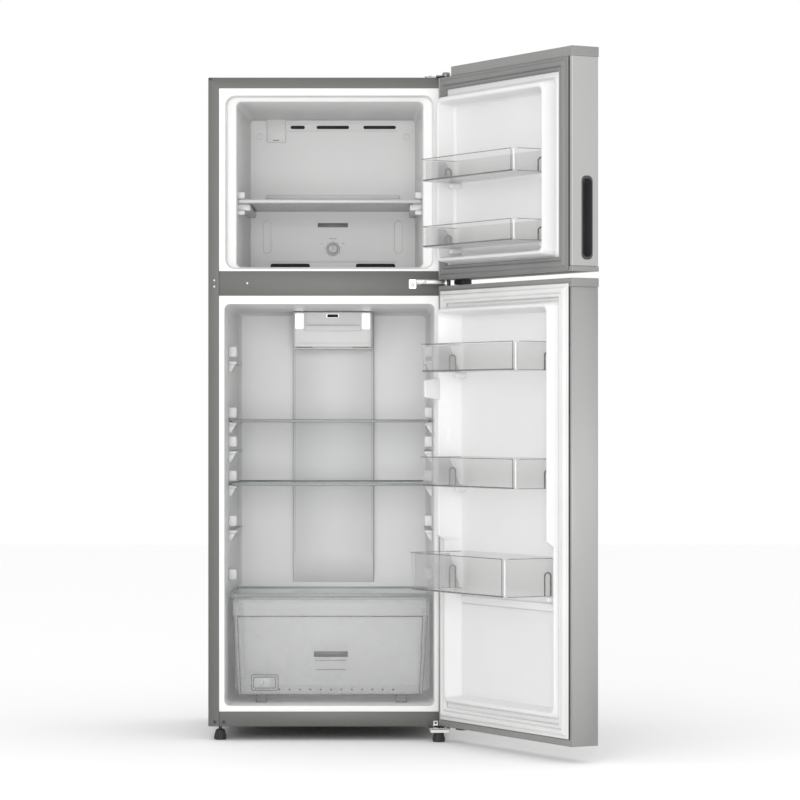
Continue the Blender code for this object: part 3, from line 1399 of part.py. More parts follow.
make_outer_case()
make_rails()
make_back()
make_base()
make_freezer_liner()
make_fridge_liner()
make_insulation()
make_evaporator_cover()
make_knob()
make_cold_parts()
make_condensing_parts()
make_fridge_fittings()
make_hinges()
make_feet()
make_glass_shelf("upper_glass_shelf", "upper_shelf_trim", UPPER_SHELF)
make_glass_shelf("lower_glass_shelf", "lower_shelf_trim", LOWER_SHELF)
make_crisper()
make_freezer_shelf()
make_freezer_door()
make_fridge_door()
assemble()
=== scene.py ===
import json
import math

import bmesh
import bpy
from mathutils import Matrix, Vector


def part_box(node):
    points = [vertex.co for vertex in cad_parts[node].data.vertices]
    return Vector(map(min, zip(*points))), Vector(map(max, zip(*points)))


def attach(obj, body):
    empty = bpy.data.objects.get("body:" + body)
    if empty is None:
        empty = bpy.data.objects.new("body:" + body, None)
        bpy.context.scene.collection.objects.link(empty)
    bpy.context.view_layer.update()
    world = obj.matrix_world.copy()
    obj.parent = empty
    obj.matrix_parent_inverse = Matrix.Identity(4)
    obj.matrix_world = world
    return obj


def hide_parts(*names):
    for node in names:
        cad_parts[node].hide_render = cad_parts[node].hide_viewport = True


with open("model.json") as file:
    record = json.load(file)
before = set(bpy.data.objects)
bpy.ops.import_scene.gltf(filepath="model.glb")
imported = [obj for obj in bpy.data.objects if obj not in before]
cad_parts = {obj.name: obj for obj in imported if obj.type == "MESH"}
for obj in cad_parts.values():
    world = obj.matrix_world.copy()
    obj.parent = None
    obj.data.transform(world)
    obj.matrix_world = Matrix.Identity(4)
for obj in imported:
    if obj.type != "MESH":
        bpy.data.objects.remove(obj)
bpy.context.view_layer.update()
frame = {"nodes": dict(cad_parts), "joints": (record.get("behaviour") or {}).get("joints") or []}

# ---------------------------------------------------------------- studio
# A white sweep of floor with a white surround and big soft boxes over it and before it.
# The camera stands eight metres back, a little right of the cabinet's middle.
case_low, case_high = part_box("outer_case")
middle, front = (case_low.x + case_high.x) / 2, case_low.y
case_half, case_deep, case_top = (case_high.x - case_low.x) / 2, case_high.y - case_low.y, case_high.z


def at(x, y, z):
    """A point given from the middle of the cabinet's front, at floor level."""
    return Vector((middle + x, front + y, z))


def place_of(node):
    """The low and high corners of a CAD node's box, in the same measure."""
    low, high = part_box(node)
    return low - at(0, 0, 0), high - at(0, 0, 0)


def stand(name, data):
    """Puts something into the scene as an object."""
    made = bpy.data.objects.new(name, data)
    bpy.context.scene.collection.objects.link(made)
    return made


eye_right, eye_back, eye_height = 0.1678, 8.156, 0.8271
camera = bpy.data.cameras.new("camera")
camera.lens, camera.sensor_width = 145.9, 36.0
camera.shift_x, camera.shift_y = 0.00475, 0.01475
camera.clip_start, camera.clip_end = 0.1, 100.0
viewer = stand("camera", camera)
viewer.location = at(eye_right, -eye_back, eye_height)
viewer.rotation_euler = (math.pi / 2, 0.0, 0.0)
bpy.context.scene.camera = viewer
bpy.context.scene.view_settings.view_transform = "Standard"

surround = bpy.data.worlds.new("surround")
surround.use_nodes = True
background = surround.node_tree.nodes["Background"]
background.inputs["Color"].default_value = (1.0, 1.0, 1.0, 1.0)
background.inputs["Strength"].default_value = 1.0
bpy.context.scene.world = surround


def soft_box(name, place, aim, width, height, power):
    lamp = bpy.data.lights.new(name, "AREA")
    lamp.shape, lamp.size, lamp.size_y, lamp.energy = "RECTANGLE", width, height, power
    tripod = stand(name, lamp)
    tripod.location = place
    tripod.rotation_euler = (aim - place).to_track_quat("-Z", "Y").to_euler()


soft_box("key_box", at(-1.4, -4.6, 2.3), at(0.0, 0.4, 0.9), 2.2, 2.2, 34.0)
soft_box("front_box", at(0.1, -5.6, 0.95), at(0.0, 0.5, 0.85), 1.8, 2.2, 92.0)
soft_box("side_box", at(3.4, -2.6, 1.8), at(0.3, -0.2, 0.9), 1.6, 2.6, 10.0)

floor_form = bmesh.new()
bmesh.ops.create_grid(floor_form, x_segments=2, y_segments=2, size=12.0)
floor_mesh = bpy.data.meshes.new("floor")
floor_form.to_mesh(floor_mesh)
floor_form.free()
floor = stand("floor", floor_mesh)
floor_paint = bpy.data.materials.new("floor_paint")
floor_paint.use_nodes = True
floor_shader = floor_paint.node_tree.nodes["Principled BSDF"]
floor_shader.inputs["Base Color"].default_value = (0.97, 0.97, 0.97, 1.0)
floor_shader.inputs["Roughness"].default_value = 0.9
floor_mesh.materials.append(floor_paint)


# ---------------------------------------------------------------- outer case
# Pre-painted sheet steel, folded in one piece over the top and sides, with a return round
# the front that the liners snap behind. The paint is a warm metallic grey, finely grained.
def blank(name):
    """A new material, and a function that adds a node to it, or fills the sockets of its shader."""
    material = bpy.data.materials.new(name)
    material.use_nodes = True
    tree = material.node_tree

    def node(kind, sockets):
        made = tree.nodes.new("ShaderNode" + kind) if kind else tree.nodes["Principled BSDF"]
        for socket, value in sockets.items():
            if isinstance(value, bpy.types.NodeSocket):
                tree.links.new(value, made.inputs[socket])
            else:
                made.inputs[socket].default_value = value
        return made

    return material, node


def finish(name, colour, roughness, metallic=0.0, spread=0.03, grain=900.0, relief=0.02,
           stretch=(1, 1, 1)):
    """A paint, metal or plastic: its colour and gloss drift a little, over a fine surface grain."""
    material, node = blank(name)
    place = node("TexCoord", {}).outputs["Object"]
    place = node("Mapping", {"Vector": place, "Scale": stretch}).outputs["Vector"]
    drift = node("TexNoise", {"Vector": place, "Scale": 7.0, "Detail": 3.0}).outputs["Fac"]
    tint = node("ValToRGB", {"Fac": drift})
    dull, bright = tint.color_ramp.elements
    dull.position, bright.position = 0.3, 0.7
    dull.color = (*[c * (1 - spread) for c in colour], 1.0)
    bright.color = (*[min(c * (1 + spread), 1.0) for c in colour], 1.0)
    gloss = node("MapRange", {
        "Value": drift, "To Min": max(roughness - 0.05, 0.02), "To Max": roughness + 0.05,
    })
    speckle = node("TexNoise", {"Vector": place, "Scale": grain, "Detail": 2.0})
    bump = node("Bump", {"Height": speckle.outputs["Fac"], "Strength": relief, "Distance": 0.0004})
    node(None, {
        "Metallic": metallic, "Base Color": tint.outputs["Color"],
        "Roughness": gloss.outputs["Result"], "Normal": bump.outputs["Normal"],
    })
    return material


PLANES = {
    "front": lambda a, b, depth: at(a, depth, b),
    "plan": lambda a, b, depth: at(a, b, depth),
    "side": lambda a, b, depth: at(depth, a, b),
}
READ = {
    "front": lambda co: (co.x - middle, co.z),
    "plan": lambda co: (co.x - middle, co.y - front),
    "side": lambda co: (co.y - front, co.z),
}


def shell(form, plane, rings, steps=6, fill=True, start_fill=False):
    """Draws a round-cornered rectangle through rings of (low a, high a, low b, high b, radius, depth)."""
    before = set(form.verts)
    bmesh.ops.create_grid(form, x_segments=1, y_segments=1, size=0.5)
    corners = [v for v in form.verts if v not in before]
    low_a, high_a, low_b, high_b, radius, depth = rings[0]
    for vert in corners:
        vert.co = (low_a if vert.co.x < 0 else high_a, low_b if vert.co.y < 0 else high_b, 0.0)
    bmesh.ops.bevel(
        form, geom=corners, offset=radius, segments=steps, profile=0.5, affect="VERTICES", material=-1
    )
    ring = [v for v in form.verts if v not in before]
    for vert in ring:
        vert.co = PLANES[plane](vert.co.x, vert.co.y, depth)
    face = ring[0].link_faces[0]
    edges = list(face.edges)
    if not start_fill:
        bmesh.ops.delete(form, geom=[face], context="FACES_ONLY")
    faces = [face] if start_fill else []
    for old, new in zip(rings, rings[1:]):
        grown = bmesh.ops.extrude_edge_only(form, edges=edges)["geom"]
        fresh = {item for item in grown if isinstance(item, bmesh.types.BMVert)}
        faces += [item for item in grown if isinstance(item, bmesh.types.BMFace)]
        edges = [
            item for item in grown
            if isinstance(item, bmesh.types.BMEdge) and item.verts[0] in fresh and item.verts[1] in fresh
        ]
        for vert in fresh:
            where = READ[plane](vert.co)
            moved = []
            for axis in (0, 1):
                value = where[axis]
                low_o, high_o = old[2 * axis:2 * axis + 2]
                low_n, high_n = new[2 * axis:2 * axis + 2]
                if value < low_o + old[4] + 1e-5:
                    moved.append(low_n + (value - low_o) * new[4] / old[4])
                elif value > high_o - old[4] - 1e-5:
                    moved.append(high_n - (high_o - value) * new[4] / old[4])
                else:
                    share = (value - low_o - old[4]) / (high_o - low_o - 2 * old[4])
                    moved.append(low_n + new[4] + share * (high_n - low_n - 2 * new[4]))
            vert.co = PLANES[plane](*moved, new[5])
    if fill:
        faces += bmesh.ops.edgeloop_fill(form, edges=edges)["faces"]
    return faces


def outward(form):
    """Turns the faces of closed forms outwards."""
    bmesh.ops.recalc_face_normals(form, faces=form.faces)


def facing(form, direction):
    """Turns a shell so that its last face looks the given way."""
    form.normal_update()
    faces = list(form.faces)
    outward(form)
    if faces[-1].normal.dot(Vector(direction)) < 0:
        bmesh.ops.reverse_faces(form, faces=faces)


def soften_edges(form, verts, edge, segments=2, chosen=lambda e: True):
    """Rounds the edges that meet at some corners, or those of them that are chosen."""
    edges = [e for e in {e for v in verts for e in v.link_edges} if chosen(e)]
    bmesh.ops.bevel(
        form, geom=edges, offset=edge, segments=segments, profile=0.5, affect="EDGES", material=-1
    )


def block(form, low, high, edge=0.0, segments=2, along=None):
    """A box in the cabinet's measure; all its edges, or those along one axis, can be rounded."""
    verts = bmesh.ops.create_cube(form, size=1.0)["verts"]
    low, high = at(*low), at(*high)
    for vert in verts:
        vert.co = Vector(high[i] if vert.co[i] > 0 else low[i] for i in range(3))
    if edge > 0.0:
        soften_edges(form, verts, edge, segments, lambda e: (
            along is None or abs((e.verts[0].co - e.verts[1].co).normalized()[along]) > 0.9
        ))


def round_bar(form, radius, start, end, segments=20, end_radius=None):
    """A cylinder or cone between two points in the cabinet's measure."""
    start, end = at(*start), at(*end)
    turn = Vector((0, 0, 1)).rotation_difference(end - start).to_matrix().to_4x4()
    bmesh.ops.create_cone(
        form, cap_ends=True, segments=segments, radius1=radius,
        radius2=radius if end_radius is None else end_radius, depth=(end - start).length,
        matrix=Matrix.Translation((start + end) / 2) @ turn,
    )


def turned(form, profile, centre, direction, steps=40):
    """Spins a profile of (radius, height) pairs about a line through centre."""
    verts = [form.verts.new((radius, 0.0, height)) for radius, height in profile]
    edges = [form.edges.new(pair) for pair in zip(verts, verts[1:])]
    before = set(form.verts) - set(verts)
    bmesh.ops.spin(
        form, geom=verts + edges, cent=(0, 0, 0), axis=(0, 0, 1), angle=2 * math.pi, steps=steps,
        use_merge=True, use_duplicate=False,
    )
    made = [v for v in form.verts if v not in before]
    poles = [v for v in made if v.co.xy.length < 1e-6]
    bmesh.ops.remove_doubles(form, verts=poles, dist=1e-6)
    made = [v for v in form.verts if v not in before]
    bmesh.ops.recalc_face_normals(form, faces=list({f for v in made for f in v.link_faces}))
    turn = Vector((0, 0, 1)).rotation_difference(Vector(direction)).to_matrix().to_4x4()
    bmesh.ops.transform(form, matrix=Matrix.Translation(at(*centre)) @ turn, verts=made)


def fit(name, form, body, material, stands_for=(), slot=None, wall=0.0, wall_side=-1.0, soften=0.0,
        segments=2, angle=30.0):
    """Makes the bmesh a piece that rides on a body, with an optional wall and softened edges."""
    mesh = bpy.data.meshes.new(name)
    form.to_mesh(mesh)
    form.free()
    mesh.shade_smooth()
    mesh.set_sharp_from_angle(angle=math.radians(angle))
    made = stand(name, mesh)
    for each in material if isinstance(material, (list, tuple)) else [material]:
        mesh.materials.append(each)
    if wall > 0.0:
        thick = made.modifiers.new("wall", "SOLIDIFY")
        thick.thickness, thick.offset, thick.use_even_offset = wall, wall_side, True
    if soften > 0.0:
        bevel = made.modifiers.new("soften", "BEVEL")
        bevel.width, bevel.segments, bevel.limit_method = soften, segments, "ANGLE"
        bevel.angle_limit = math.radians(angle)
        bevel.harden_normals = True
    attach(made, body)
    if stands_for:
        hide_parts(*stands_for)
    return made


def carve(piece, form, angle=30.0):
    """Cuts the closed shapes in a bmesh out of a piece, and smooths it again."""
    mesh = bpy.data.meshes.new("tool")
    outward(form)
    form.to_mesh(mesh)
    form.free()
    tool = stand("tool", mesh)
    step = piece.modifiers.new("step", "BOOLEAN")
    step.operation, step.solver, step.object, step.use_self = "DIFFERENCE", "EXACT", tool, True
    graph = bpy.context.evaluated_depsgraph_get()
    cut_mesh = bpy.data.meshes.new_from_object(piece.evaluated_get(graph))
    for modifier in list(piece.modifiers):
        piece.modifiers.remove(modifier)
    piece.data = cut_mesh
    bpy.data.objects.remove(tool)
    cut_mesh.shade_smooth()
    cut_mesh.set_sharp_from_angle(angle=math.radians(angle))


case_paint = finish("case_paint", (0.100, 0.100, 0.094), 0.45, 0.15, 0.04, 1400.0, 0.10)
base = case_low.z
stile = 0.027
form = bmesh.new()
outer = (-case_half, case_half, base, case_top)
shell(form, "front", [
    (*outer, 0.0025, case_deep),
    (*outer, 0.0025, 0.0016),
    (-case_half + 0.0005, case_half - 0.0005, base + 0.0002, case_top - 0.0005, 0.0022, 0.0005),
    (-case_half + 0.0016, case_half - 0.0016, base + 0.0004, case_top - 0.0016, 0.0020, 0.0),
    (-case_half + stile, case_half - stile, base + 0.0006, case_top - stile, 0.0020, 0.0),
    (-case_half + stile + 0.0002, case_half - stile - 0.0002, base + 0.0008, case_top - stile - 0.0002,
     0.0020, 0.0007),
], steps=4, fill=False)
outward(form)
form.faces.ensure_lookup_table()
front_face = min(form.faces, key=lambda f: f.calc_center_median().y + abs(f.normal.x))
if front_face.normal.y > 0:
    bmesh.ops.reverse_faces(form, faces=form.faces)
fit("case_shell", form, "cabinet", case_paint, ["outer_case"], "case_paint")

# ---------------------------------------------------------------- mullion and bottom rail
# Two folded strips in the case's steel close the front between the liners and under the
# lower one. Each is seamed to the stiles and held by small zinc screws.
rail_half = case_half - stile - 0.0006
mullion_low, mullion_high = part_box("mullion_rail")
form = bmesh.new()
block(form, (-rail_half, -0.0002, mullion_low.z), (rail_half, 0.0006, mullion_high.z), 0.0003, 2)
fit("mullion_strip", form, "cabinet", case_paint, ["mullion_rail"], "case_paint", angle=40)
rail_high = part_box("bottom_rail")[1]
form = bmesh.new()
block(form, (-rail_half, -0.0002, base + 0.0004), (rail_half, 0.0006, rail_high.z), 0.0003, 2)
block(form, (-case_half + 0.002, 0.0016, base + 0.0004), (case_half - 0.002, 0.055, base + 0.0018))
fit("bottom_strip", form, "cabinet", case_paint, ["bottom_rail"], "case_paint", angle=40)

zinc = finish("zinc", (0.34, 0.34, 0.33), 0.34, 0.9, 0.05, 500.0, 0.06)
black_nylon = finish("black_nylon", (0.018, 0.018, 0.019), 0.45, 0.0, 0.15, 700.0, 0.08)


def screw(form, place, radius, height=0.0014, direction=(0, -1, 0)):
    """A low domed screw head with a round recess, standing on a surface."""
    r = radius
    turned(
        form,
        [(r, 0.0), (r, height * 0.4), (r * 0.88, height * 0.85), (r * 0.66, height), (r * 0.45, height),
         (r * 0.40, height * 0.45), (0.0, height * 0.40)],
        place, direction, 24,
    )


form = bmesh.new()
for x, z, r in ((-0.2898, 1.1578, 0.0030), (-0.2898, 1.1420, 0.0030), (-0.2068, 1.1505, 0.0032)):
    screw(form, (x, -0.0002, z), r)
fit("frame_screws", form, "cabinet", zinc, slot="hinge_steel")
form = bmesh.new()
for x in (-0.2885, -0.2659):
    screw(form, (x, -0.0002, 0.0469), 0.0042, 0.0009)
block(form, (-case_half + 0.0005, -0.0012, case_top - 0.0065),
      (-case_half + 0.0085, 0.004, case_top - 0.0008),
      0.0006)
fit("frame_plugs", form, "cabinet", black_nylon, slot="black_plastic")
# black strips painted as the shade in the seams where the strips meet the stiles
form = bmesh.new()
for side in (-1, 1):
    low_x, high_x = sorted((side * (rail_half - 0.0001), side * (rail_half + 0.0009)))
    for low_z, high_z in ((mullion_low.z, mullion_high.z), (base + 0.0004, rail_high.z)):
        block(form, (low_x, -0.0010, low_z), (high_x, 0.0004, high_z))
fit("frame_seam_shadows", form, "cabinet", black_nylon, slot="black_plastic")

# ---------------------------------------------------------------- freezer liner
# Vacuum-formed white polystyrene. Its flange tucks behind the frame, a stepped rebate
# takes the door's raised dike, and the walls draw in towards the back.
liner_white = finish("liner_white", (0.745, 0.745, 0.740), 0.34, 0.0, 0.012, 260.0, 0.035)
flange = case_half - stile + 0.006
freezer_low, freezer_high = mullion_high.z + 0.015, case_top - 0.062
freezer_back = place_of("freezer_liner")[1].y - 0.0022
form = bmesh.new()
shell(form, "front", [
    (-flange, flange, mullion_high.z - 0.008, case_top - stile + 0.006, 0.008, 0.0014),
    (-0.2632, 0.2632, freezer_low - 0.0100, freezer_high + 0.0178, 0.0250, 0.0014),
    (-0.2618, 0.2618, freezer_low - 0.0090, freezer_high + 0.0165, 0.0240, 0.0030),
    (-0.2580, 0.2580, freezer_low - 0.0072, freezer_high + 0.0142, 0.0220, 0.0295),
    (-0.2570, 0.2570, freezer_low - 0.0066, freezer_high + 0.0135, 0.0215, 0.0305),
    (-0.2372, 0.2372, freezer_low - 0.0048, freezer_high + 0.0052, 0.0130, 0.0345),
    (-0.2350, 0.2350, freezer_low - 0.0036, freezer_high + 0.0036, 0.0120, 0.0385),
    (-0.2345, 0.2345, freezer_low - 0.0030, freezer_high + 0.0028, 0.0120, 0.0500),
    (-0.2140, 0.2140, freezer_low + 0.0040, freezer_high - 0.0078, 0.0120, freezer_back - 0.006),
    (-0.2080, 0.2080, freezer_low + 0.0090, freezer_high - 0.0140, 0.0100, freezer_back),
], steps=8)
facing(form, (0, -1, 0))
fit("freezer_lining", form, "cabinet", liner_white, ["freezer_liner"], "liner_white", soften=0.0016,
    angle=24)

# The ledges are moulded in the liner's own white sheet; this darker copy of its white is painted shade on
# them.
ledge_shaded_white = finish("ledge_shaded_white", (0.600, 0.600, 0.597), 0.34, 0.0, 0.012, 260.0, 0.035)
shelf_low, shelf_high = place_of("freezer_shelf")
form = bmesh.new()
for side in (-1, 1):
    inner, outer_x = sorted((side * 0.202, side * 0.2335))
    block(form, (inner, 0.086, shelf_low.z - 0.0165), (outer_x - 0.0006, 0.230, shelf_low.z - 0.0002),
          0.0025)
    inner, outer_x = sorted((side * 0.202, side * 0.2235))
    block(form, (inner, 0.225, shelf_low.z - 0.0165), (outer_x - 0.0006, 0.404, shelf_low.z - 0.0002),
          0.0025)
    inner, outer_x = sorted((side * 0.2155, side * 0.2345))
    block(form, (inner, 0.072, shelf_low.z + 0.0125), (outer_x - 0.0008, 0.110, shelf_low.z + 0.030),
          0.003)
    block(form, (inner, 0.072, shelf_low.z - 0.028), (outer_x - 0.0008, 0.110, shelf_low.z - 0.0165),
          0.003)
fit("freezer_ledges", form, "cabinet", ledge_shaded_white, slot="liner_white", angle=40)

# ---------------------------------------------------------------- evaporator cover
# A moulded panel shuts off the cooling coil at the back of the freezer. Air leaves through
# the slots at its top and returns at its foot; a flap, two plugs and a sealed bar mark it.
cover_low, cover_high = place_of("evaporator_cover")
cover_half = (cover_high.x - cover_low.x) / 2 + 0.0042
cover_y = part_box("evaporator_cover")[0].y - front
knob_z, recess_low, recess_high = 1.258, 1.2485, 1.3310
panel_low, panel_high = cover_low.z - 0.0028, cover_high.z + 0.0032
panel_white = finish("panel_white", (0.73, 0.73, 0.726), 0.38, 0.0, 0.012, 420.0, 0.05)
form = bmesh.new()
shell(form, "front", [
    (-cover_half, cover_half, panel_low, panel_high, 0.0110, cover_y + 0.0022),
    (-cover_half, cover_half, panel_low, panel_high, 0.0110, cover_y + 0.0006),
    (-cover_half + 0.0006, cover_half - 0.0006, panel_low + 0.0006, panel_high - 0.0006, 0.0105, cover_y),
], steps=5, start_fill=True)
outward(form)
panel = fit("cooling_panel", form, "cabinet", panel_white, ["evaporator_cover"], "fitting_white",
            angle=40)
vent_high = freezer_high - 0.0213
cuts = bmesh.new()
for low_x, high_x in ((-0.1120, -0.0740), (-0.0430, 0.0430), (0.0806, 0.1670)):
    block(cuts, (low_x, cover_y - 0.01, vent_high - 0.009), (high_x, cover_y + 0.01, vent_high), 0.0042,
          4, 1)
for low_x, high_x in ((-0.165, -0.061), (0.061, 0.165)):
    block(cuts, (low_x, cover_y - 0.01, freezer_low + 0.008),
          (high_x, cover_y + 0.01, freezer_low + 0.0235),
          0.0055, 4, 1)
for side in (-1, 1):
    low_x, high_x = sorted((side * 0.1640, side * 0.1825))
    block(cuts, (low_x, cover_y - 0.01, recess_low), (high_x, cover_y + 0.0012, recess_high), 0.0080, 5,
          1)
round_bar(cuts, 0.0085, (0.0, cover_y - 0.01, knob_z), (0.0, cover_y + 0.01, knob_z), 32)
carve(panel, cuts)

form = bmesh.new()
# the raised field round the upper slots, the stepped ridge behind the shelf, the lower field
block(form, (-0.167, cover_y - 0.0012, vent_high - 0.0155),
      (0.172, cover_y - 0.0002, vent_high - 0.0130), 0.0004)
block(form, (-0.167, cover_y - 0.0012, vent_high + 0.0040),
      (0.172, cover_y - 0.0002, vent_high + 0.0060), 0.0004)
block(form, (-0.177, cover_y - 0.0052, 1.3880), (0.177, cover_y - 0.0002, 1.4010), 0.0030, 3)
for row in range(9):
    x = -0.160 + row * 0.040
    block(form, (x - 0.0155, cover_y - 0.0064, 1.3925), (x + 0.0155, cover_y - 0.0048, 1.3962), 0.0006)
block(form, (-0.170, cover_y - 0.0022, freezer_low + 0.0270),
      (0.170, cover_y - 0.0002, freezer_low + 0.0290), 0.0008)
for side in (-1, 1):
    low_x, high_x = sorted((side * 0.1610, side * 0.1855))
    shell(form, "front", [
        (low_x + inset, high_x - inset, recess_low - 0.0020 + inset, recess_high + 0.0020 - inset, radius,
         cover_y + depth)
        for inset, radius, depth in (
            (0.0, 0.0100, -0.0001), (0.0006, 0.0096, -0.0022), (0.0020, 0.0086, -0.0022),
            (0.0028, 0.0080, 0.0010),
        )
    ], steps=6)
    turned(form, [(0.0090, 0.0), (0.0090, 0.0012), (0.0080, 0.0020), (0.0066, 0.0020), (0.0058, 0.0012),
                  (0.0, 0.0012)], (side * 0.1935, cover_y - 0.0002, 1.5560), (0, -1, 0), 32)
block(form, (-0.175, cover_y - 0.0060, 1.5400), (-0.1245, cover_y - 0.0002, 1.6010), 0.0020, 3)
block(form, (-0.160, cover_y - 0.0068, 1.5440), (-0.1395, cover_y - 0.0056, 1.5475), 0.0006)
outward(form)
fit("panel_ribs", form, "cabinet", panel_white, slot="fitting_white", angle=40)
# Dark blocks set behind the upper and lower slots, and a dark line along the flap's small ridge, are
# painted shade. They stand in for the dark space behind the panel.
form = bmesh.new()
painted_shade_black = finish("painted_shade_black", (0.012, 0.012, 0.013), 0.7)
block(form, (-0.168, cover_y + 0.0035, vent_high - 0.012), (0.172, cover_y + 0.0075, vent_high + 0.003))
block(form, (-0.170, cover_y + 0.0035, freezer_low + 0.006),
      (0.170, cover_y + 0.0075, freezer_low + 0.025))
block(form, (-0.1575, cover_y - 0.0072, 1.5448), (-0.1420, cover_y - 0.0064, 1.5462))
fit("vent_shadows", form, "cabinet", painted_shade_black, slot="black_plastic")
# A plain bar where a maker's wording would be.
label_grey = finish("label_grey", (0.13, 0.13, 0.13), 0.4)
form = bmesh.new()
block(form, (-0.0400, cover_y - 0.0010, 1.3156), (0.0400, cover_y - 0.0002, 1.3267), 0.0003)
fit("freezer_label", form, "cabinet", label_grey, slot="pocket_black")

# ---------------------------------------------------------------- temperature knob
# A small turned knob with a raised grip bar and a ring of marks printed round it; it
# trims how much cold air goes down to the fridge.
knob_white = finish("knob_white", (0.62, 0.62, 0.62), 0.35, 0.0, 0.02, 500.0, 0.04)
form = bmesh.new()
turned(form, [
    (0.0, 0.0), (0.0185, 0.0), (0.0185, 0.0030), (0.0172, 0.0046), (0.0150, 0.0052), (0.0145, 0.0048),
    (0.0140, 0.0052), (0.0122, 0.0115), (0.0108, 0.0130), (0.0090, 0.0132), (0.0085, 0.0124),
    (0.0, 0.0124),
], (0.0, cover_y - 0.0010, knob_z), (0, -1, 0), 48)
for notch in range(24):
    angle = 2 * math.pi * notch / 24
    x, z = 0.0184 * math.cos(angle), 0.0184 * math.sin(angle)
    round_bar(form, 0.0006, (x, cover_y - 0.0012, knob_z + z), (x, cover_y - 0.0038, knob_z + z), 8)
block(form, (-0.0030, cover_y - 0.0172, 1.2465), (0.0030, cover_y - 0.0120, 1.2695), 0.0012, 3)
fit("cold_knob", form, "knob", knob_white, ["temperature_knob"], "fitting_white", angle=35)
form = bmesh.new()
for x, z, wide in ((-0.0295, 1.2725, 0.0014), (0.0275, 1.2725, 0.0030), (0.0, 1.2855, 0.0100)):
    block(form, (x - wide, cover_y - 0.0007, z - 0.0006), (x + wide, cover_y - 0.0002, z + 0.0006),
          0.0002)
for mark in range(7):
    angle = math.radians(-30 + 40 * mark)
    x, z = 0.0225 * math.cos(angle), 0.0225 * math.sin(angle)
    round_bar(form, 0.0007, (x, cover_y - 0.0006, knob_z + z), (x, cover_y, knob_z + z), 10)
fit("knob_marks", form, "cabinet", label_grey, slot="pocket_black")

# ---------------------------------------------------------------- freezer shelf
# One moulded deck in translucent grey plastic with a deeper bar along its front edge and
# ribs under it; it slides on the ledges in the walls.
frosted_grey = finish("frosted_grey", (0.42, 0.43, 0.43), 0.25, 0.0, 0.03, 300.0, 0.03)
deck_half = (shelf_high.x - shelf_low.x) / 2
deck_front, deck_back = shelf_low.y, shelf_high.y
deck_z = shelf_low.z + 0.001
form = bmesh.new()
block(form, (-0.2110, deck_front + 0.006, deck_z), (0.2110, deck_back, deck_z + 0.0028), 0.0008)
block(form, (-deck_half, deck_front, deck_z - 0.0010), (deck_half, deck_front + 0.0115, deck_z + 0.0086),
      0.0028, 4)
for rib in range(11):
    x = -0.200 + 0.040 * rib
    block(form, (x - 0.0010, deck_front + 0.0110, deck_z - 0.0006),
          (x + 0.0010, deck_back - 0.004, deck_z + 0.0044))
block(form, (-0.2110, deck_back - 0.004, deck_z - 0.0006), (0.2110, deck_back, deck_z + 0.0070), 0.0010)
fit("freezer_deck_moulding", form, "freezer_deck", frosted_grey, ["freezer_shelf"], "shelf_trim",
    angle=40)

# ---------------------------------------------------------------- fridge liner
# The lower liner is formed in the same white sheet, with a step at its foot that clears
# the compressor and six rows of ledges moulded into each wall.
fridge_low, fridge_high = base + 0.052, mullion_low.z - 0.021
fridge_back = place_of("fridge_liner")[1].y - 0.0022
hump_front, hump_top = 0.368, 0.330
form = bmesh.new()
shell(form, "front", [
    (-flange, flange, rail_high.z - 0.006, mullion_low.z + 0.006, 0.008, 0.0014),
    (-0.2658, 0.2658, fridge_low - 0.0018, fridge_high + 0.0018, 0.0150, 0.0014),
    (-0.2644, 0.2644, fridge_low - 0.0004, fridge_high + 0.0004, 0.0140, 0.0022),
    (-0.2638, 0.2638, fridge_low + 0.0002, fridge_high - 0.0002, 0.0130, 0.0060),
    (-0.2562, 0.2562, fridge_low + 0.0040, fridge_high - 0.0050, 0.0125, hump_front - 0.008),
    (-0.2558, 0.2558, fridge_low + 0.0080, fridge_high - 0.0051, 0.0125, hump_front),
    (-0.2556, 0.2556, hump_top - 0.006, fridge_high - 0.0052, 0.0125, hump_front + 0.008),
    (-0.2554, 0.2554, hump_top + 0.001, fridge_high - 0.0053, 0.0125, hump_front + 0.016),
    (-0.2530, 0.2530, hump_top + 0.004, fridge_high - 0.0073, 0.0125, fridge_back - 0.008),
    (-0.2460, 0.2460, hump_top + 0.011, fridge_high - 0.0140, 0.0105, fridge_back),
], steps=8)
facing(form, (0, -1, 0))
fit("fridge_lining", form, "cabinet", liner_white, ["fridge_liner"], "liner_white", soften=0.0012,
    angle=24)

upper_shelf_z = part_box("upper_glass_shelf")[0].z
lower_shelf_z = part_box("lower_glass_shelf")[0].z
cover_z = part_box("crisper_cover")[0].z


def wall_at(y):
    """Half the width between the fridge liner's walls, which draw in towards the back."""
    return 0.264 - 0.0115 * y / 0.53


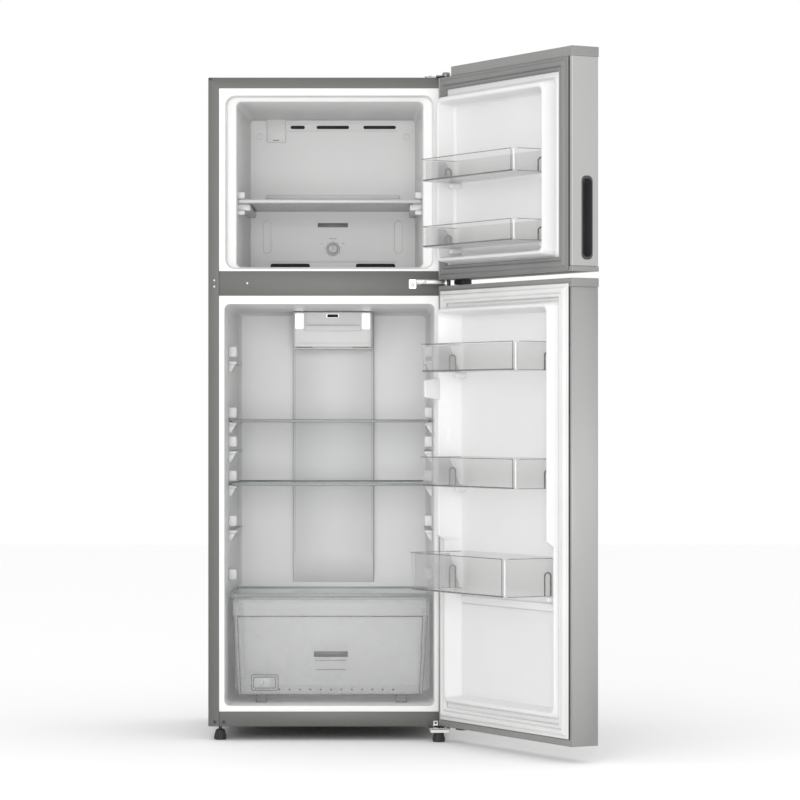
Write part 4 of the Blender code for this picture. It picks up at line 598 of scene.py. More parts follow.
near, far, rail_end = 0.139, 0.176, 0.478  # the guides' front and back, and the rails' back
form = bmesh.new()
for row_z, has_ledge in (
    (upper_shelf_z + 0.156, True), (upper_shelf_z, True), (upper_shelf_z - 0.074, True),
    (lower_shelf_z, True), (lower_shelf_z - 0.115, True), (cover_z + 0.030, False),
):
    for side in (-1, 1):
        inner, wall = 0.2405, wall_at(near) - 0.0004
        low_x, high_x = sorted((side * inner, side * wall))
        # guide above the slot, with a notch in its inner face
        block(form, (low_x, near, row_z + 0.0105), (high_x, far, row_z + 0.0375), 0.0022, 3)
        notch_low, notch_high = sorted((side * (inner - 0.0010), side * (inner + 0.008)))
        block(form, (notch_low, near + 0.006, row_z + 0.0150), (notch_high, far - 0.006, row_z + 0.0320),
              0.0015)
        if has_ledge:
            block(form, (low_x, near, row_z - 0.0085), (high_x, far, row_z - 0.0005), 0.0018, 3)
            # bracket under it, drawn in towards its foot
            foot = bmesh.ops.create_cube(form, size=1.0)["verts"]
            for vert in foot:
                top = vert.co.z > 0
                outer_side = (vert.co.x > 0) == (side > 0)
                x = side * (wall if outer_side else (inner + (0.003 if top else 0.014)))
                y = near + 0.002 if vert.co.y < 0 else (far - (0.004 if top else 0.012))
                vert.co = at(x, y, row_z - (0.0080 if top else 0.0280))
            soften_edges(form, foot, 0.0014)
            # the rail runs on along the wall to the back
            far_wall = wall_at(rail_end) - 0.0004
            rail = bmesh.ops.create_cube(form, size=1.0)["verts"]
            for vert in rail:
                behind = vert.co.y > 0
                outer_side = (vert.co.x > 0) == (side > 0)
                x = side * ((far_wall if behind else wall_at(far)) if outer_side else inner + 0.0015)
                vert.co = at(x, rail_end if behind else far - 0.004,
                             row_z - (0.0005 if vert.co.z > 0 else 0.0065))
outward(form)
# The ledges take the darker copy of the liner white, painted shade.
fit("fridge_ledges", form, "cabinet", ledge_shaded_white, slot="liner_white", angle=40)

# ---------------------------------------------------------------- air duct and control housing
# A foam-cored duct face runs down the back wall, and a moulded housing under the ceiling
# holds the lamp, the damper and the slider that sets the fridge's cold.
duct_low, duct_high = place_of("air_duct")
duct_half = (duct_high.x - duct_low.x) / 2
duct_y, face_top = duct_low.y, duct_high.z
form = bmesh.new()
duct_rings = []
for z, y in ((duct_low.z, duct_y + 0.0205), (duct_low.z + 0.012, duct_y + 0.0135),
             (duct_low.z + 0.030, duct_y + 0.0062),
             (duct_low.z + 0.052, duct_y + 0.0018), (duct_low.z + 0.075, duct_y), (face_top, duct_y)):
    duct_rings.append((-duct_half, duct_half, y, fridge_back - 0.0005, 0.0012, z))
shell(form, "plan", duct_rings, steps=2, start_fill=True)
outward(form)
fit("duct_face", form, "cabinet", panel_white, ["air_duct"], "fitting_white", soften=0.0009, angle=35)
form = bmesh.new()
for side in (-1, 1):
    low_x, high_x = sorted((side * (duct_half + 0.0002), side * (duct_half + 0.0014)))
    block(form, (low_x, fridge_back - 0.0035, duct_low.z), (high_x, fridge_back - 0.0005, face_top))
    low_x, high_x = sorted((side * (duct_half - 0.0052), side * (duct_half - 0.0040)))
    block(form, (low_x, duct_y - 0.0004, duct_low.z + 0.078), (high_x, duct_y + 0.0004, face_top))
seam_grey = finish("seam_grey", (0.45, 0.45, 0.45), 0.5)
fit("duct_seams", form, "cabinet", seam_grey, slot="shelf_trim")

housing_low, housing_high = place_of("control_housing")
house_half = (housing_high.x - housing_low.x) / 2
house_y, house_back = housing_low.y, housing_high.y
house_z, ceiling = housing_low.z, housing_high.z
form = bmesh.new()
shell(form, "plan", [
    (-house_half + 0.004, house_half - 0.004, house_y + 0.014, house_back, 0.006, house_z),
    (-house_half + 0.001, house_half - 0.001, house_y + 0.004, house_back, 0.008, house_z + 0.003),
    (-house_half, house_half, house_y, house_back, 0.008, house_z + 0.008),
    (-house_half, house_half, house_y, house_back, 0.008, ceiling),
], steps=5, start_fill=True)
outward(form)
housing = fit("lamp_housing", form, "cabinet", panel_white, ["control_housing"], "fitting_white",
              angle=35)
cuts = bmesh.new()
block(cuts, (-house_half + 0.003, house_y + 0.012, house_z + 0.004),
      (house_half - 0.003, house_back - 0.003, ceiling - 0.003))
block(cuts, (-0.073, house_y - 0.01, ceiling - 0.034), (0.073, house_y + 0.007, ceiling + 0.01), 0.006,
      4, 1)
for low_x, high_x in ((-0.0985, -0.0775), (0.0775, 0.0985)):
    block(cuts, (low_x, house_y - 0.01, ceiling - 0.044), (high_x, house_y + 0.02, ceiling - 0.003),
          0.003, 3, 1)
block(cuts, (-0.0165, house_y - 0.01, ceiling - 0.0145), (0.0165, house_y + 0.02, ceiling - 0.0040),
      0.0025, 3, 1)
for low_x, high_x in ((-0.097, -0.052), (0.052, 0.097)):
    block(cuts, (low_x, house_y - 0.01, house_z + 0.0035), (high_x, house_y + 0.02, house_z + 0.0065),
          0.0010, 2, 1)
carve(housing, cuts)
form = bmesh.new()
block(form, (-0.074, house_y - 0.0022, ceiling - 0.0500), (0.074, house_y + 0.0005, ceiling - 0.0345),
      0.0020, 4)
block(form, (-0.100, house_y - 0.0016, house_z + 0.0140), (0.100, house_y + 0.0003, house_z + 0.0170),
      0.0008, 2)
block(form, (-house_half, house_y - 0.0030, house_z + 0.0010),
      (house_half, house_y + 0.004, house_z + 0.0034), 0.0010, 2)
fit("housing_ribs", form, "cabinet", panel_white, slot="fitting_white", angle=40)
# A dark block set behind the damper's slot is painted shade.
form = bmesh.new()
block(form, (-0.0145, house_y + 0.0085, ceiling - 0.0135), (0.0145, house_y + 0.0105, ceiling - 0.0050),
      0.0008)
fit("damper_slot_shadow", form, "cabinet", painted_shade_black, slot="black_plastic")


# The lamps behind the two windows light a ribbed acrylic diffuser.
def lit(name, colour, strength):
    material, node = blank(name)
    place = node("TexCoord", {}).outputs["Object"]
    ribs = node("TexWave", {"Vector": place, "Scale": 160.0}).outputs["Fac"]
    glow = node("MapRange", {"Value": ribs, "To Min": strength * 0.8, "To Max": strength})
    node(None, {
        "Base Color": (*colour, 1.0), "Roughness": 0.3,
        "Emission Color": (*colour, 1.0), "Emission Strength": glow.outputs["Result"],
    })
    return material


form = bmesh.new()
block(form, *place_of("light_lens"), 0.0008)
fit("lamp_diffuser", form, "cabinet", lit("lamp_glow", (1.0, 1.0, 1.0), 0.9), ["light_lens"], "lamp_lens")


# ---------------------------------------------------------------- glass shelves
# Four-millimetre tempered glass with ground edges, clipped into a slim grey trim at the
# front. The glass shows green where one looks along it.
def clear(name, colour, face_alpha, edge_alpha, roughness=0.06, haze=0.0, haze_scale=200.0):
    """Clear sheet: nearly open face on, closing towards its edges, with an optional cloudy pattern."""
    material, node = blank(name)
    facing_away = node("LayerWeight", {"Blend": 0.35}).outputs["Facing"]
    solid = node("MapRange", {"Value": facing_away, "To Min": face_alpha, "To Max": edge_alpha})
    place = node("TexCoord", {}).outputs["Object"]
    cloud = node("TexNoise", {"Vector": place, "Scale": haze_scale}).outputs["Fac"]
    fog = node("MapRange",
               {"Value": cloud, "From Min": 0.45, "From Max": 0.75, "To Min": 0.0, "To Max": haze})
    total = node("Math", {0: solid.outputs["Result"], 1: fog.outputs["Result"]})
    total.operation, total.use_clamp = "ADD", True
    gloss = node("MapRange", {"Value": cloud, "To Min": roughness, "To Max": roughness + 0.04})
    node(None, {
        "Base Color": (*colour, 1.0), "IOR": 1.5, "Alpha": total.outputs["Value"],
        "Roughness": gloss.outputs["Result"],
    })
    return material


shelf_glass = clear("shelf_glass", (0.66, 0.78, 0.73), 0.10, 0.55)
glass_edge = finish("glass_edge", (0.20, 0.27, 0.25), 0.15, 0.0, 0.1, 60.0, 0.02)
trim_grey = finish("trim_grey", (0.22, 0.23, 0.23), 0.28, 0.0, 0.04, 500.0, 0.03)
for label, body, glass_node, trim_node in (
    ("upper", "upper_shelf", "upper_glass_shelf", "upper_shelf_trim"),
    ("lower", "lower_shelf", "lower_glass_shelf", "lower_shelf_trim"),
):
    (x0, y0, glass_z), (x1, y1, glass_top) = place_of(glass_node)
    form = bmesh.new()
    block(form, (x0, y0 + 0.004, glass_z), (x1, y1, glass_top), 0.0006, 2)
    form.faces.ensure_lookup_table()
    for face in form.faces:
        face.material_index = 0 if abs(face.normal.z) > 0.5 else 1
    fit(label + "_shelf_pane", form, body, [shelf_glass, glass_edge], [glass_node], "shelf_glass",
        angle=40)
    low, high = place_of(trim_node)
    form = bmesh.new()
    block(form, (x0, low.y, low.z + 0.0006), (x1, low.y + 0.0026, high.z - 0.0002), 0.0010, 3)
    block(form, (x0, low.y + 0.0018, high.z - 0.0018), (x1, high.y, high.z - 0.0004), 0.0006, 2)
    block(form, (x0, low.y + 0.0018, low.z + 0.0002), (x1, high.y, low.z + 0.0010), 0.0003, 2)
    block(form, (x0, y1 - 0.004, glass_z - 0.0001), (x1, y1 + 0.0015, high.z), 0.0010, 2)
    fit(label + "_shelf_nosing", form, body, trim_grey, [trim_node], "shelf_trim", angle=40)

# ---------------------------------------------------------------- crisper cover
# The lowest shelf is a pane that lies over the drawer, in a frame with a clear nosing at
# its front and a rail at its back.
(x0, y0, z0), (x1, y1, _) = place_of("crisper_cover")
z0 += 0.0015
form = bmesh.new()
block(form, (x0, y0 + 0.012, z0), (x1, y1 - 0.002, z0 + 0.004), 0.0006, 2)
for face in form.faces:
    face.material_index = 0 if abs(face.normal.z) > 0.5 else 1
cover_glass = clear("cover_glass", (0.72, 0.81, 0.78), 0.05, 0.30)
fit("crisper_pane", form, "drawer_cover", [cover_glass, glass_edge], ["crisper_cover"], "shelf_glass",
    angle=40)
form = bmesh.new()
block(form, (x0, y0, z0 - 0.0012), (x1, y0 + 0.003, z0 + 0.0072), 0.0013, 3)
block(form, (x0, y0 + 0.002, z0 + 0.0046), (x1, y0 + 0.016, z0 + 0.0066), 0.0006, 2)
block(form, (x0, y0 + 0.002, z0 - 0.0012), (x1, y0 + 0.016, z0 - 0.0002), 0.0004, 2)
fit("crisper_frame", form, "drawer_cover", trim_grey, slot="shelf_trim", angle=40)
clear_smoke = clear("clear_smoke", (0.50, 0.51, 0.51), 0.16, 0.70, 0.08, 0.03, 60.0)
form = bmesh.new()
block(form, (x0, y1 - 0.006, z0 - 0.0010), (x1, y1, z0 + 0.0060), 0.0012, 3)
fit("crisper_back_rail", form, "drawer_cover", clear_smoke, slot="shelf_trim", angle=40)

# ---------------------------------------------------------------- crisper drawer
# Injection-moulded clear polystyrene. It tapers to its floor, with a stepped rim, a row of
# pips along the foot of its front and two hooks where it clips behind the liner's lip.
(drawer_left, d_front, d_low), (drawer_right, d_back, d_high) = place_of("crisper_drawer")
d_half = (drawer_right - drawer_left) / 2
clear_drawer = clear("clear_drawer", (0.80, 0.81, 0.81), 0.13, 0.60, 0.10, 0.03, 35.0)
form = bmesh.new()
rim_z = d_high - 0.040
shell(form, "plan", [
    (-d_half, d_half, d_front, d_back, 0.012, d_high),
    (-d_half + 0.0008, d_half - 0.0008, d_front + 0.0010, d_back - 0.0010, 0.012, rim_z + 0.001),
    (-d_half + 0.0040, d_half - 0.0040, d_front + 0.0030, d_back - 0.0020, 0.014, rim_z - 0.002),
    (-d_half + 0.0128, d_half - 0.0128, d_front + 0.0060, d_back - 0.0060, 0.016, d_low + 0.006),
    (-d_half + 0.0160, d_half - 0.0160, d_front + 0.0090, d_back - 0.0090, 0.014, d_low + 0.0006),
], steps=6)
facing(form, (0, 0, -1))
fit("crisper_tray", form, "drawer", clear_drawer, ["crisper_drawer"], "clear_plastic", wall=0.0024,
           soften=0.0008, angle=25)
face_y = d_front + 0.0058
smoke_edge = clear("smoke_edge", (0.16, 0.16, 0.155), 0.55, 0.90, 0.12)
form = bmesh.new()
block(form, (-d_half + 0.012, face_y - 0.0060, rim_z - 0.0036),
      (d_half - 0.012, face_y - 0.0034, rim_z - 0.0018),
      0.0006, 2)
for side in (-1, 1):
    for top_x, foot_x in ((0.0128, 0.0212), (0.0010, 0.0137)):
        upright = bmesh.ops.create_cube(form, size=1.0)["verts"]
        for vert in upright:
            upper, outside = vert.co.z > 0, (vert.co.x > 0) == (side > 0)
            x = d_half - (top_x if upper else foot_x) + (0.0007 if outside else -0.0007)
            y = face_y + (-0.0046 if upper else -0.0016) + (0.0 if vert.co.y < 0 else 0.0020)
            vert.co = at(side * x, y, rim_z - 0.003 if upper else d_low + 0.004)
block(form, (-d_half + 0.014, face_y - 0.0030, d_low + 0.0010),
      (d_half - 0.014, face_y - 0.0006, d_low + 0.0034), 0.0006)
outward(form)
fit("tray_ribs", form, "drawer", smoke_edge, slot="clear_plastic", angle=40)
form = bmesh.new()
for pip in range(12):
    x = -0.129 + 0.02625 * pip
    turned(form, [(0.0, 0.0), (0.0028, 0.0), (0.0026, 0.0010), (0.0014, 0.0018), (0.0, 0.0020)],
           (x, face_y + 0.0022, d_low + 0.0146), (0, -1, 0), 16)
for middle_x in (-0.1743, 0.1806):
    for x in (middle_x - 0.0130, middle_x + 0.0130):
        block(form, (x - 0.0011, face_y + 0.0030, d_low - 0.0175),
              (x + 0.0011, face_y + 0.0070, d_low + 0.0010), 0.0006)
    block(form, (middle_x - 0.0141, face_y + 0.0028, d_low - 0.0175),
          (middle_x + 0.0141, face_y + 0.0068, d_low - 0.0150),
          0.0006)
fit("tray_hooks", form, "drawer", smoke_edge, slot="clear_plastic", angle=40)

(slider_left, slider_front, slider_low), (slider_right, slider_back,
                                          slider_high) = place_of("humidity_slider")
window_x, window_z = -0.166, (slider_low + slider_high) / 2
form = bmesh.new()
for half_wide, half_tall, corner in ((0.0345, 0.0205, 0.0060), (0.0283, 0.0145, 0.0040)):
    outline = [
        (window_x - half_wide + inset, window_x + half_wide - inset, window_z - half_tall + inset,
         window_z + half_tall - inset, corner - inset, face_y + depth)
        for inset, depth in ((0.0, 0.0010), (0.0, -0.0016), (0.0013, -0.0016), (0.0013, 0.0010))
    ]
    shell(form, "front", outline + outline[:1], steps=5, fill=False)
bmesh.ops.remove_doubles(form, verts=form.verts, dist=1e-6)
outward(form)
fit("humidity_frame", form, "drawer", smoke_edge, slot="shelf_trim", angle=35)
form = bmesh.new()
block(form, (slider_left, slider_back - 0.002, slider_low + 0.001),
      (slider_right, slider_back, slider_high - 0.001), 0.0006)
block(form, (window_x - 0.012, slider_front + 0.0005, window_z - 0.0065),
      (window_x - 0.004, slider_back - 0.001, window_z + 0.0065), 0.0012, 3)
for line in range(3):
    x = window_x - 0.0102 + 0.0022 * line
    block(form, (x, slider_front, window_z - 0.005), (x + 0.0008, slider_front + 0.001, window_z + 0.005))
fit("humidity_vane", form, "slider", frosted_grey, ["humidity_slider"], "clear_plastic", angle=40)
form = bmesh.new()
block(form, (-0.0410, face_y - 0.0040, 0.2055), (0.0450, face_y - 0.0030, 0.2195), 0.0003)
fit("drawer_label", form, "drawer", label_grey, slot="pocket_black")
form = bmesh.new()
for mark in range(10):
    x = -0.034 + 0.008 * mark
    block(form, (x - 0.0026, face_y - 0.0036, 0.1955), (x + 0.0026, face_y - 0.0028, 0.1972), 0.0002)
block(form, (-0.0340, face_y - 0.0034, 0.1725), (0.0400, face_y - 0.0026, 0.1738), 0.0002)
fit("drawer_marks", form, "drawer", label_grey, slot="shelf_trim")


# ---------------------------------------------------------------- doors: steel skins
# Each door is one sheet of stainless-look steel, roll-formed round its front and sides and
# returned on the inner face, where the gasket's groove holds it.
def joint_of(name):
    return [joint for joint in frame["joints"] if joint["name"] == name][0]


pin = Vector(joint_of("freezer_door_hinge")["pos_m"])
opened = Matrix.Rotation(math.radians(-joint_of("freezer_door_hinge")["range_deg"][0]), 3, "Z")
door_half, inner_y, door_thick = case_half - 0.001, -0.012, 0.076
outer_y = inner_y - door_thick


def swing(form):
    """Turns what was made on the shut door to where the open door holds it."""
    bmesh.ops.rotate(form, cent=pin, matrix=opened, verts=form.verts)


def hang(name, form, *how, **more):
    """Makes a piece of what was made on the shut door, where the open door holds it."""
    swing(form)
    return fit(name, form, *how, **more)


door_steel = finish("door_steel", (0.36, 0.36, 0.352), 0.46, 0.35, 0.025, 900.0, 0.12, (1.0, 1.0, 0.25))
freezer_door = (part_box("freezer_door_bottom_cap")[0].z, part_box("freezer_door_top_cap")[1].z)
fridge_door = (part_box("fridge_door_bottom_cap")[0].z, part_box("fridge_door_top_cap")[1].z)
pocket_low, pocket_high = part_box("freezer_handle_pocket")
for label, body, node in (("freezer", "freezer_door", "freezer_door_skin"),
                          ("fridge", "fridge_door", "fridge_door_skin")):
    low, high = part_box(node)
    if label == "fridge":
        low.z = fridge_door[0] + 0.0006
    form = bmesh.new()
    side, corner, back = door_half, 0.006, inner_y
    verts = [form.verts.new(at(side - 0.0095, back, low.z)),
             form.verts.new(at(side - 0.0012, back, low.z)),
             form.verts.new(at(side, back - 0.0012, low.z)),
             form.verts.new(at(side, outer_y + corner, low.z))]
    for step in range(1, 7):
        angle = step * math.pi / 12
        verts.append(form.verts.new(at(side - corner + corner * math.cos(angle), outer_y + corner
                                       - corner * math.sin(angle), low.z)))
    edges = [form.edges.new(pair) for pair in zip(verts, verts[1:])]
    other = bmesh.ops.duplicate(form, geom=verts + edges)["geom"]
    bmesh.ops.scale(form, vec=(-1, 1, 1), space=Matrix.Translation((-middle, 0, 0)),
                    verts=[item for item in other if isinstance(item, bmesh.types.BMVert)])
    tips = [v for v in form.verts if abs(v.co.y - front - outer_y) < 1e-6]
    form.edges.new(tips)
    grown = bmesh.ops.extrude_edge_only(form, edges=list(form.edges))["geom"]
    bmesh.ops.translate(form, vec=(0, 0, high.z - low.z),
                        verts=[item for item in grown if isinstance(item, bmesh.types.BMVert)])
    outward(form)
    widest = max(form.faces, key=lambda f: f.calc_area())
    if widest.normal.y > 0:
        bmesh.ops.reverse_faces(form, faces=form.faces)
    skin = fit(label + "_door_wrap", form, body, door_steel, [node], "door_steel", wall=0.0008, angle=35)
    if label == "freezer":
        cuts = bmesh.new()
        block(cuts, (-door_half - 0.01, inner_y - 0.0580, pocket_low.z - 0.0010),
              (-door_half + 0.01, inner_y - 0.0265, pocket_high.z + 0.0010), 0.0125, 8, 0)
        carve(skin, cuts, 35.0)
    turned_skin = bmesh.new()
    turned_skin.from_mesh(skin.data)
    swing(turned_skin)
    turned_skin.to_mesh(skin.data)
    turned_skin.free()

# ---------------------------------------------------------------- handle pocket
# The freezer door is pulled by a black pocket let into its free edge; the fridge door has
# none and is pulled by its edge.
pocket_black = finish("pocket_black", (0.035, 0.035, 0.038), 0.28, 0.0, 0.1, 500.0, 0.05)
form = bmesh.new()
near, far = inner_y - 0.0268, inner_y - 0.0577
z_low, z_high = pocket_low.z - 0.0006, pocket_high.z + 0.0006
edge_x = -door_half
shell(form, "side", [
    (far + 0.0010, near - 0.0010, z_low + 0.0010, z_high - 0.0010, 0.0115, edge_x + 0.0010),
    (far, near, z_low, z_high, 0.0125, edge_x - 0.0006),
    (far + 0.0008, near - 0.0008, z_low + 0.0008, z_high - 0.0008, 0.0118, edge_x - 0.0014),
    (far + 0.0028, near - 0.0028, z_low + 0.0060, z_high - 0.0060, 0.0100, edge_x - 0.0012),
    (far + 0.0034, near - 0.0034, z_low + 0.0068, z_high - 0.0068, 0.0095, edge_x + 0.0004),
    (far + 0.0040, near - 0.0040, z_low + 0.0085, z_high - 0.0085, 0.0090, edge_x + 0.0200),
    (far + 0.0070, near - 0.0070, z_low + 0.0130, z_high - 0.0130, 0.0060, edge_x + 0.0245),
], steps=7)
facing(form, (-1, 0, 0))
hang("handle_well", form, "freezer_door", pocket_black, ["freezer_handle_pocket"], "pocket_black",
     angle=35)

# ---------------------------------------------------------------- door liners
# White vacuum-formed panels. A raised dike runs round each one to seal against the liner
# in the cabinet, and lugs on it carry the bins.
door_white = finish("door_white", (0.690, 0.690, 0.688), 0.32, 0.0, 0.010, 240.0, 0.03)
lip_half = door_half - 0.0125 - 0.003
seal_low, seal_high = freezer_door[0] + 0.0029, freezer_door[1] - 0.024
hinge_dike, free_dike = 0.253, -0.236
dike_low, dike_high = freezer_low + 0.004, freezer_high - 0.002
form = bmesh.new()
shell(form, "front", [
    (-lip_half, lip_half, seal_low + 0.003, seal_high - 0.003, 0.004, inner_y + 0.0002),
    (free_dike - 0.0085, hinge_dike + 0.0035, dike_low - 0.0055, dike_high + 0.0145, 0.012,
     inner_y + 0.0002),
    (free_dike - 0.0062, hinge_dike + 0.0022, dike_low - 0.0040, dike_high + 0.0110, 0.014,
     inner_y + 0.0030),
    (free_dike - 0.0020, hinge_dike, dike_low, dike_high + 0.0040, 0.016, inner_y + 0.0320),
    (free_dike - 0.0008, hinge_dike - 0.0014, dike_low + 0.0010, dike_high + 0.0020, 0.016,
     inner_y + 0.0362),
    (free_dike + 0.0012, hinge_dike - 0.0032, dike_low + 0.0030, dike_high, 0.016, inner_y + 0.0378),
    (free_dike + 0.0060, hinge_dike - 0.0062, dike_low + 0.0070, dike_high - 0.0060, 0.016,
     inner_y + 0.0378),
    (free_dike + 0.0085, hinge_dike - 0.0085, dike_low + 0.0090, dike_high - 0.0085, 0.015,
     inner_y + 0.0360),
    (free_dike + 0.0092, hinge_dike - 0.0100, dike_low + 0.0100, dike_high - 0.0096, 0.015,
     inner_y + 0.0320),
    (free_dike + 0.0112, hinge_dike - 0.0170, dike_low + 0.0140, dike_high - 0.0150, 0.015,
     inner_y - 0.0030),
    (free_dike + 0.0140, hinge_dike - 0.0225, dike_low + 0.0180, dike_high - 0.0200, 0.012,
     inner_y - 0.0084),
    (free_dike + 0.0210, hinge_dike - 0.0300, dike_low + 0.0250, dike_high - 0.0270, 0.010,
     inner_y - 0.0098),
], steps=8)
facing(form, (0, 1, 0))
freezer_bin_ends = (-0.209, 0.224)
freezer_bins = (("upper_freezer_bin", "freezer_bin_a"), ("lower_freezer_bin", "freezer_bin_b"))


def bin_seats(form, nodes, low_x, high_x):
    """Pads on the liner's floor that a bin's ends stand on and hook over."""
    for node, _ in nodes:
        low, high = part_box(node)
        for x in (low_x + 0.004, high_x - 0.018):
            block(form, (x, inner_y - 0.0104, low.z - 0.0125),
                  (x + 0.014, inner_y + 0.0200, low.z - 0.0006), 0.003, 3)


bin_seats(form, freezer_bins, *freezer_bin_ends)
hang("freezer_door_lining", form, "freezer_door", door_white, ["freezer_door_liner"], "liner_white",
     angle=28)

fridge_seal_low, fridge_seal_high = fridge_door[0] + 0.0175, fridge_door[1] - 0.013
dike, low_in, high_in = 0.254, fridge_low + 0.0185, fridge_high - 0.014
step_z = fridge_low + 0.4185
form = bmesh.new()
rings = [
    (-lip_half, lip_half, fridge_seal_low + 0.003, fridge_seal_high - 0.003, 0.004, inner_y + 0.0002),
    (-dike - 0.0045, dike + 0.0045, low_in - 0.0065, high_in + 0.0065, 0.012, inner_y + 0.0002),
    (-dike - 0.0030, dike + 0.0030, low_in - 0.0050, high_in + 0.0050, 0.014, inner_y + 0.0030),
    (-dike, dike, low_in, high_in, 0.016, inner_y + 0.0310),
    (-dike + 0.0012, dike - 0.0012, low_in + 0.0012, high_in - 0.0012, 0.016, inner_y + 0.0345),
    (-dike + 0.0032, dike - 0.0032, low_in + 0.0032, high_in - 0.0032, 0.016, inner_y + 0.0358),
    (-dike + 0.0065, dike - 0.0065, low_in + 0.0065, high_in - 0.0065, 0.016, inner_y + 0.0358),
    (-dike + 0.0088, dike - 0.0092, low_in + 0.0090, high_in - 0.0090, 0.015, inner_y + 0.0345),
    (-dike + 0.0098, dike - 0.0110, low_in + 0.0105, high_in - 0.0105, 0.015, inner_y + 0.0310),
    (-dike + 0.0130, dike - 0.0400, low_in + 0.0165, high_in - 0.0165, 0.015, inner_y - 0.0040),
    (-dike + 0.0160, dike - 0.0460, low_in + 0.0200, high_in - 0.0200, 0.012, inner_y - 0.0088),
    (-dike + 0.0220, dike - 0.0530, low_in + 0.0260, high_in - 0.0260, 0.010, inner_y - 0.0098),
]
shell(form, "front", rings, steps=8)
facing(form, (0, 1, 0))
# Below the step the dike is lower, so the cut there is doubled and its crest pressed down.
for height in (step_z, step_z + 0.007, step_z + 0.014):
    bmesh.ops.bisect_plane(form, geom=list(form.verts) + list(form.edges) + list(form.faces), dist=1e-5,
                           plane_co=(0, 0, height), plane_no=(0, 0, 1))
for vert in form.verts:
    rise = vert.co.y - front - inner_y
    if rise > 0.001 and vert.co.z < step_z + 0.0139:
        share = min(max((step_z + 0.014 - vert.co.z) / 0.014, 0.0), 1.0)
        share = share * share * (3 - 2 * share)
        vert.co.y = front + inner_y + rise * (1 - 0.55 * share)
fridge_bin_ends = (-0.237, 0.204)
fridge_bins = (("upper_door_bin", "door_bin_a"), ("middle_door_bin", "door_bin_b"),
               ("lower_door_bin", "door_bin_c"))
bin_seats(form, fridge_bins, *fridge_bin_ends)
# the bumper on the hinge side
bumper = bmesh.ops.create_cube(form, size=1.0)["verts"]
for vert in bumper:
    out = vert.co.y > 0
    z = (0.905 if vert.co.z > 0 else 0.863) if out else (0.911 if vert.co.z > 0 else 0.857)
    vert.co = at(dike - 0.0035 if vert.co.x > 0 else dike - 0.0125, inner_y + (0.076 if out else 0.033),
                 z)
soften_edges(form, bumper, 0.003, 3)
# the small oval boss on the slope beside it, and the ridge over the foot of the door
along, out = Vector((-0.638, -0.770, 0.0)), Vector((-0.770, 0.638, 0.0))
boss = bmesh.ops.create_cube(form, size=2.0)["verts"]
for vert in boss:
    share = vert.co.copy()
    vert.co = at(0.229, inner_y + 0.0135, 0.773) + along * share.x * 0.0062 + out * share.y * 0.0016
    vert.co.z += share.z * 0.0170
soften_edges(form, boss, 0.0058, 6, lambda e: (
    abs((e.verts[1].co - e.verts[0].co).normalized().dot(out)) > 0.9
))
block(form, (-0.236, inner_y - 0.0104, 0.3520), (0.206, inner_y - 0.0062, 0.3720), 0.0034, 4)
hang("fridge_door_lining", form, "fridge_door", door_white, ["fridge_door_liner"], "liner_white",
     angle=28)

# ---------------------------------------------------------------- gaskets
# Soft PVC with a magnet strip inside. A dart pushes into the door's groove, and a groove
# down its face lets it fold as the door shuts. Grey above, white below.
# Dark grey: the drain pan's own colour, and painted shade where it lines the gasket grooves.
pan_grey_and_groove_shade = finish("pan_grey_and_groove_shade", (0.06, 0.06, 0.062), 0.5, 0.0, 0.08, 400.0, 0.06)
gasket_grey = finish("gasket_grey", (0.185, 0.185, 0.183), 0.62, 0.0, 0.05, 120.0, 0.05)
gasket_white = finish("gasket_white", (0.64, 0.64, 0.636), 0.55, 0.0, 0.03, 120.0, 0.04)
seal_half = door_half - 0.0125
for label, body, node, low_z, high_z, rubber in (
    ("freezer", "freezer_door", "freezer_door_gasket", seal_low, seal_high, gasket_grey),
    ("fridge", "fridge_door", "fridge_door_gasket", fridge_seal_low, fridge_seal_high, gasket_white),
):
    profile = [
        (0.0006, 0.0008), (0.0000, 0.0022), (0.0012, 0.0034), (0.0080, 0.0036), (0.0092, 0.0060),
        (0.0108, 0.0094),
        (0.0130, 0.0108), (0.0190, 0.0110), (0.0212, 0.0098), (0.0222, 0.0066), (0.0232, 0.0066),
        (0.0246, 0.0094),
        (0.0276, 0.0098), (0.0302, 0.0090), (0.0318, 0.0060), (0.0325, 0.0010),
    ]
    form = bmesh.new()
    shell(form, "front", [
        (-seal_half + inset, seal_half - inset, low_z + inset, high_z - inset, 0.0008, inner_y + rise)
        for inset, rise in profile
    ], steps=1, fill=False)
    outward(form)
    crest = max(form.faces, key=lambda f: f.calc_center_median().y)
    if crest.normal.y < 0:
        bmesh.ops.reverse_faces(form, faces=form.faces)
    swing(form)
    # A dark grey ring set under and beside each gasket is painted shade in the door's groove and in the
    # gap beside the skin.
    groove = bmesh.new()
    shell(groove, "front", [
        (-seal_half - 0.0040, seal_half + 0.0040, low_z - 0.0030, high_z + 0.0010, 0.0020,
         inner_y - 0.0009),
        (-seal_half + 0.0040, seal_half - 0.0040, low_z + 0.0040, high_z - 0.0040, 0.0020,
         inner_y - 0.0009),
    ], steps=2, fill=False)
    facing(groove, (0, 1, 0))
    swing(groove)
    fit(label + "_seal_groove_shadow", groove, body, pan_grey_and_groove_shade, slot="black_plastic")
    fit(label + "_seal", form, body, rubber, [node],
        "gasket_grey" if label == "freezer" else "gasket_white", angle=50)

# ---------------------------------------------------------------- door caps
# Grey ABS mouldings close the tops and bottoms of the doors, hold the hinge bushes, and
# carry a lip that meets the gasket.
cap_grey = finish("cap_grey", (0.215, 0.215, 0.21), 0.40, 0.0, 0.03, 800.0, 0.10)
cap_edge = 0.0030


def cap(form, low_z, high_z, low_x=-door_half, high_x=door_half, proud=0.0004):
    block(form, (low_x - proud, outer_y - proud, low_z), (high_x + proud, inner_y + proud, high_z),
          cap_edge, 4, 2)


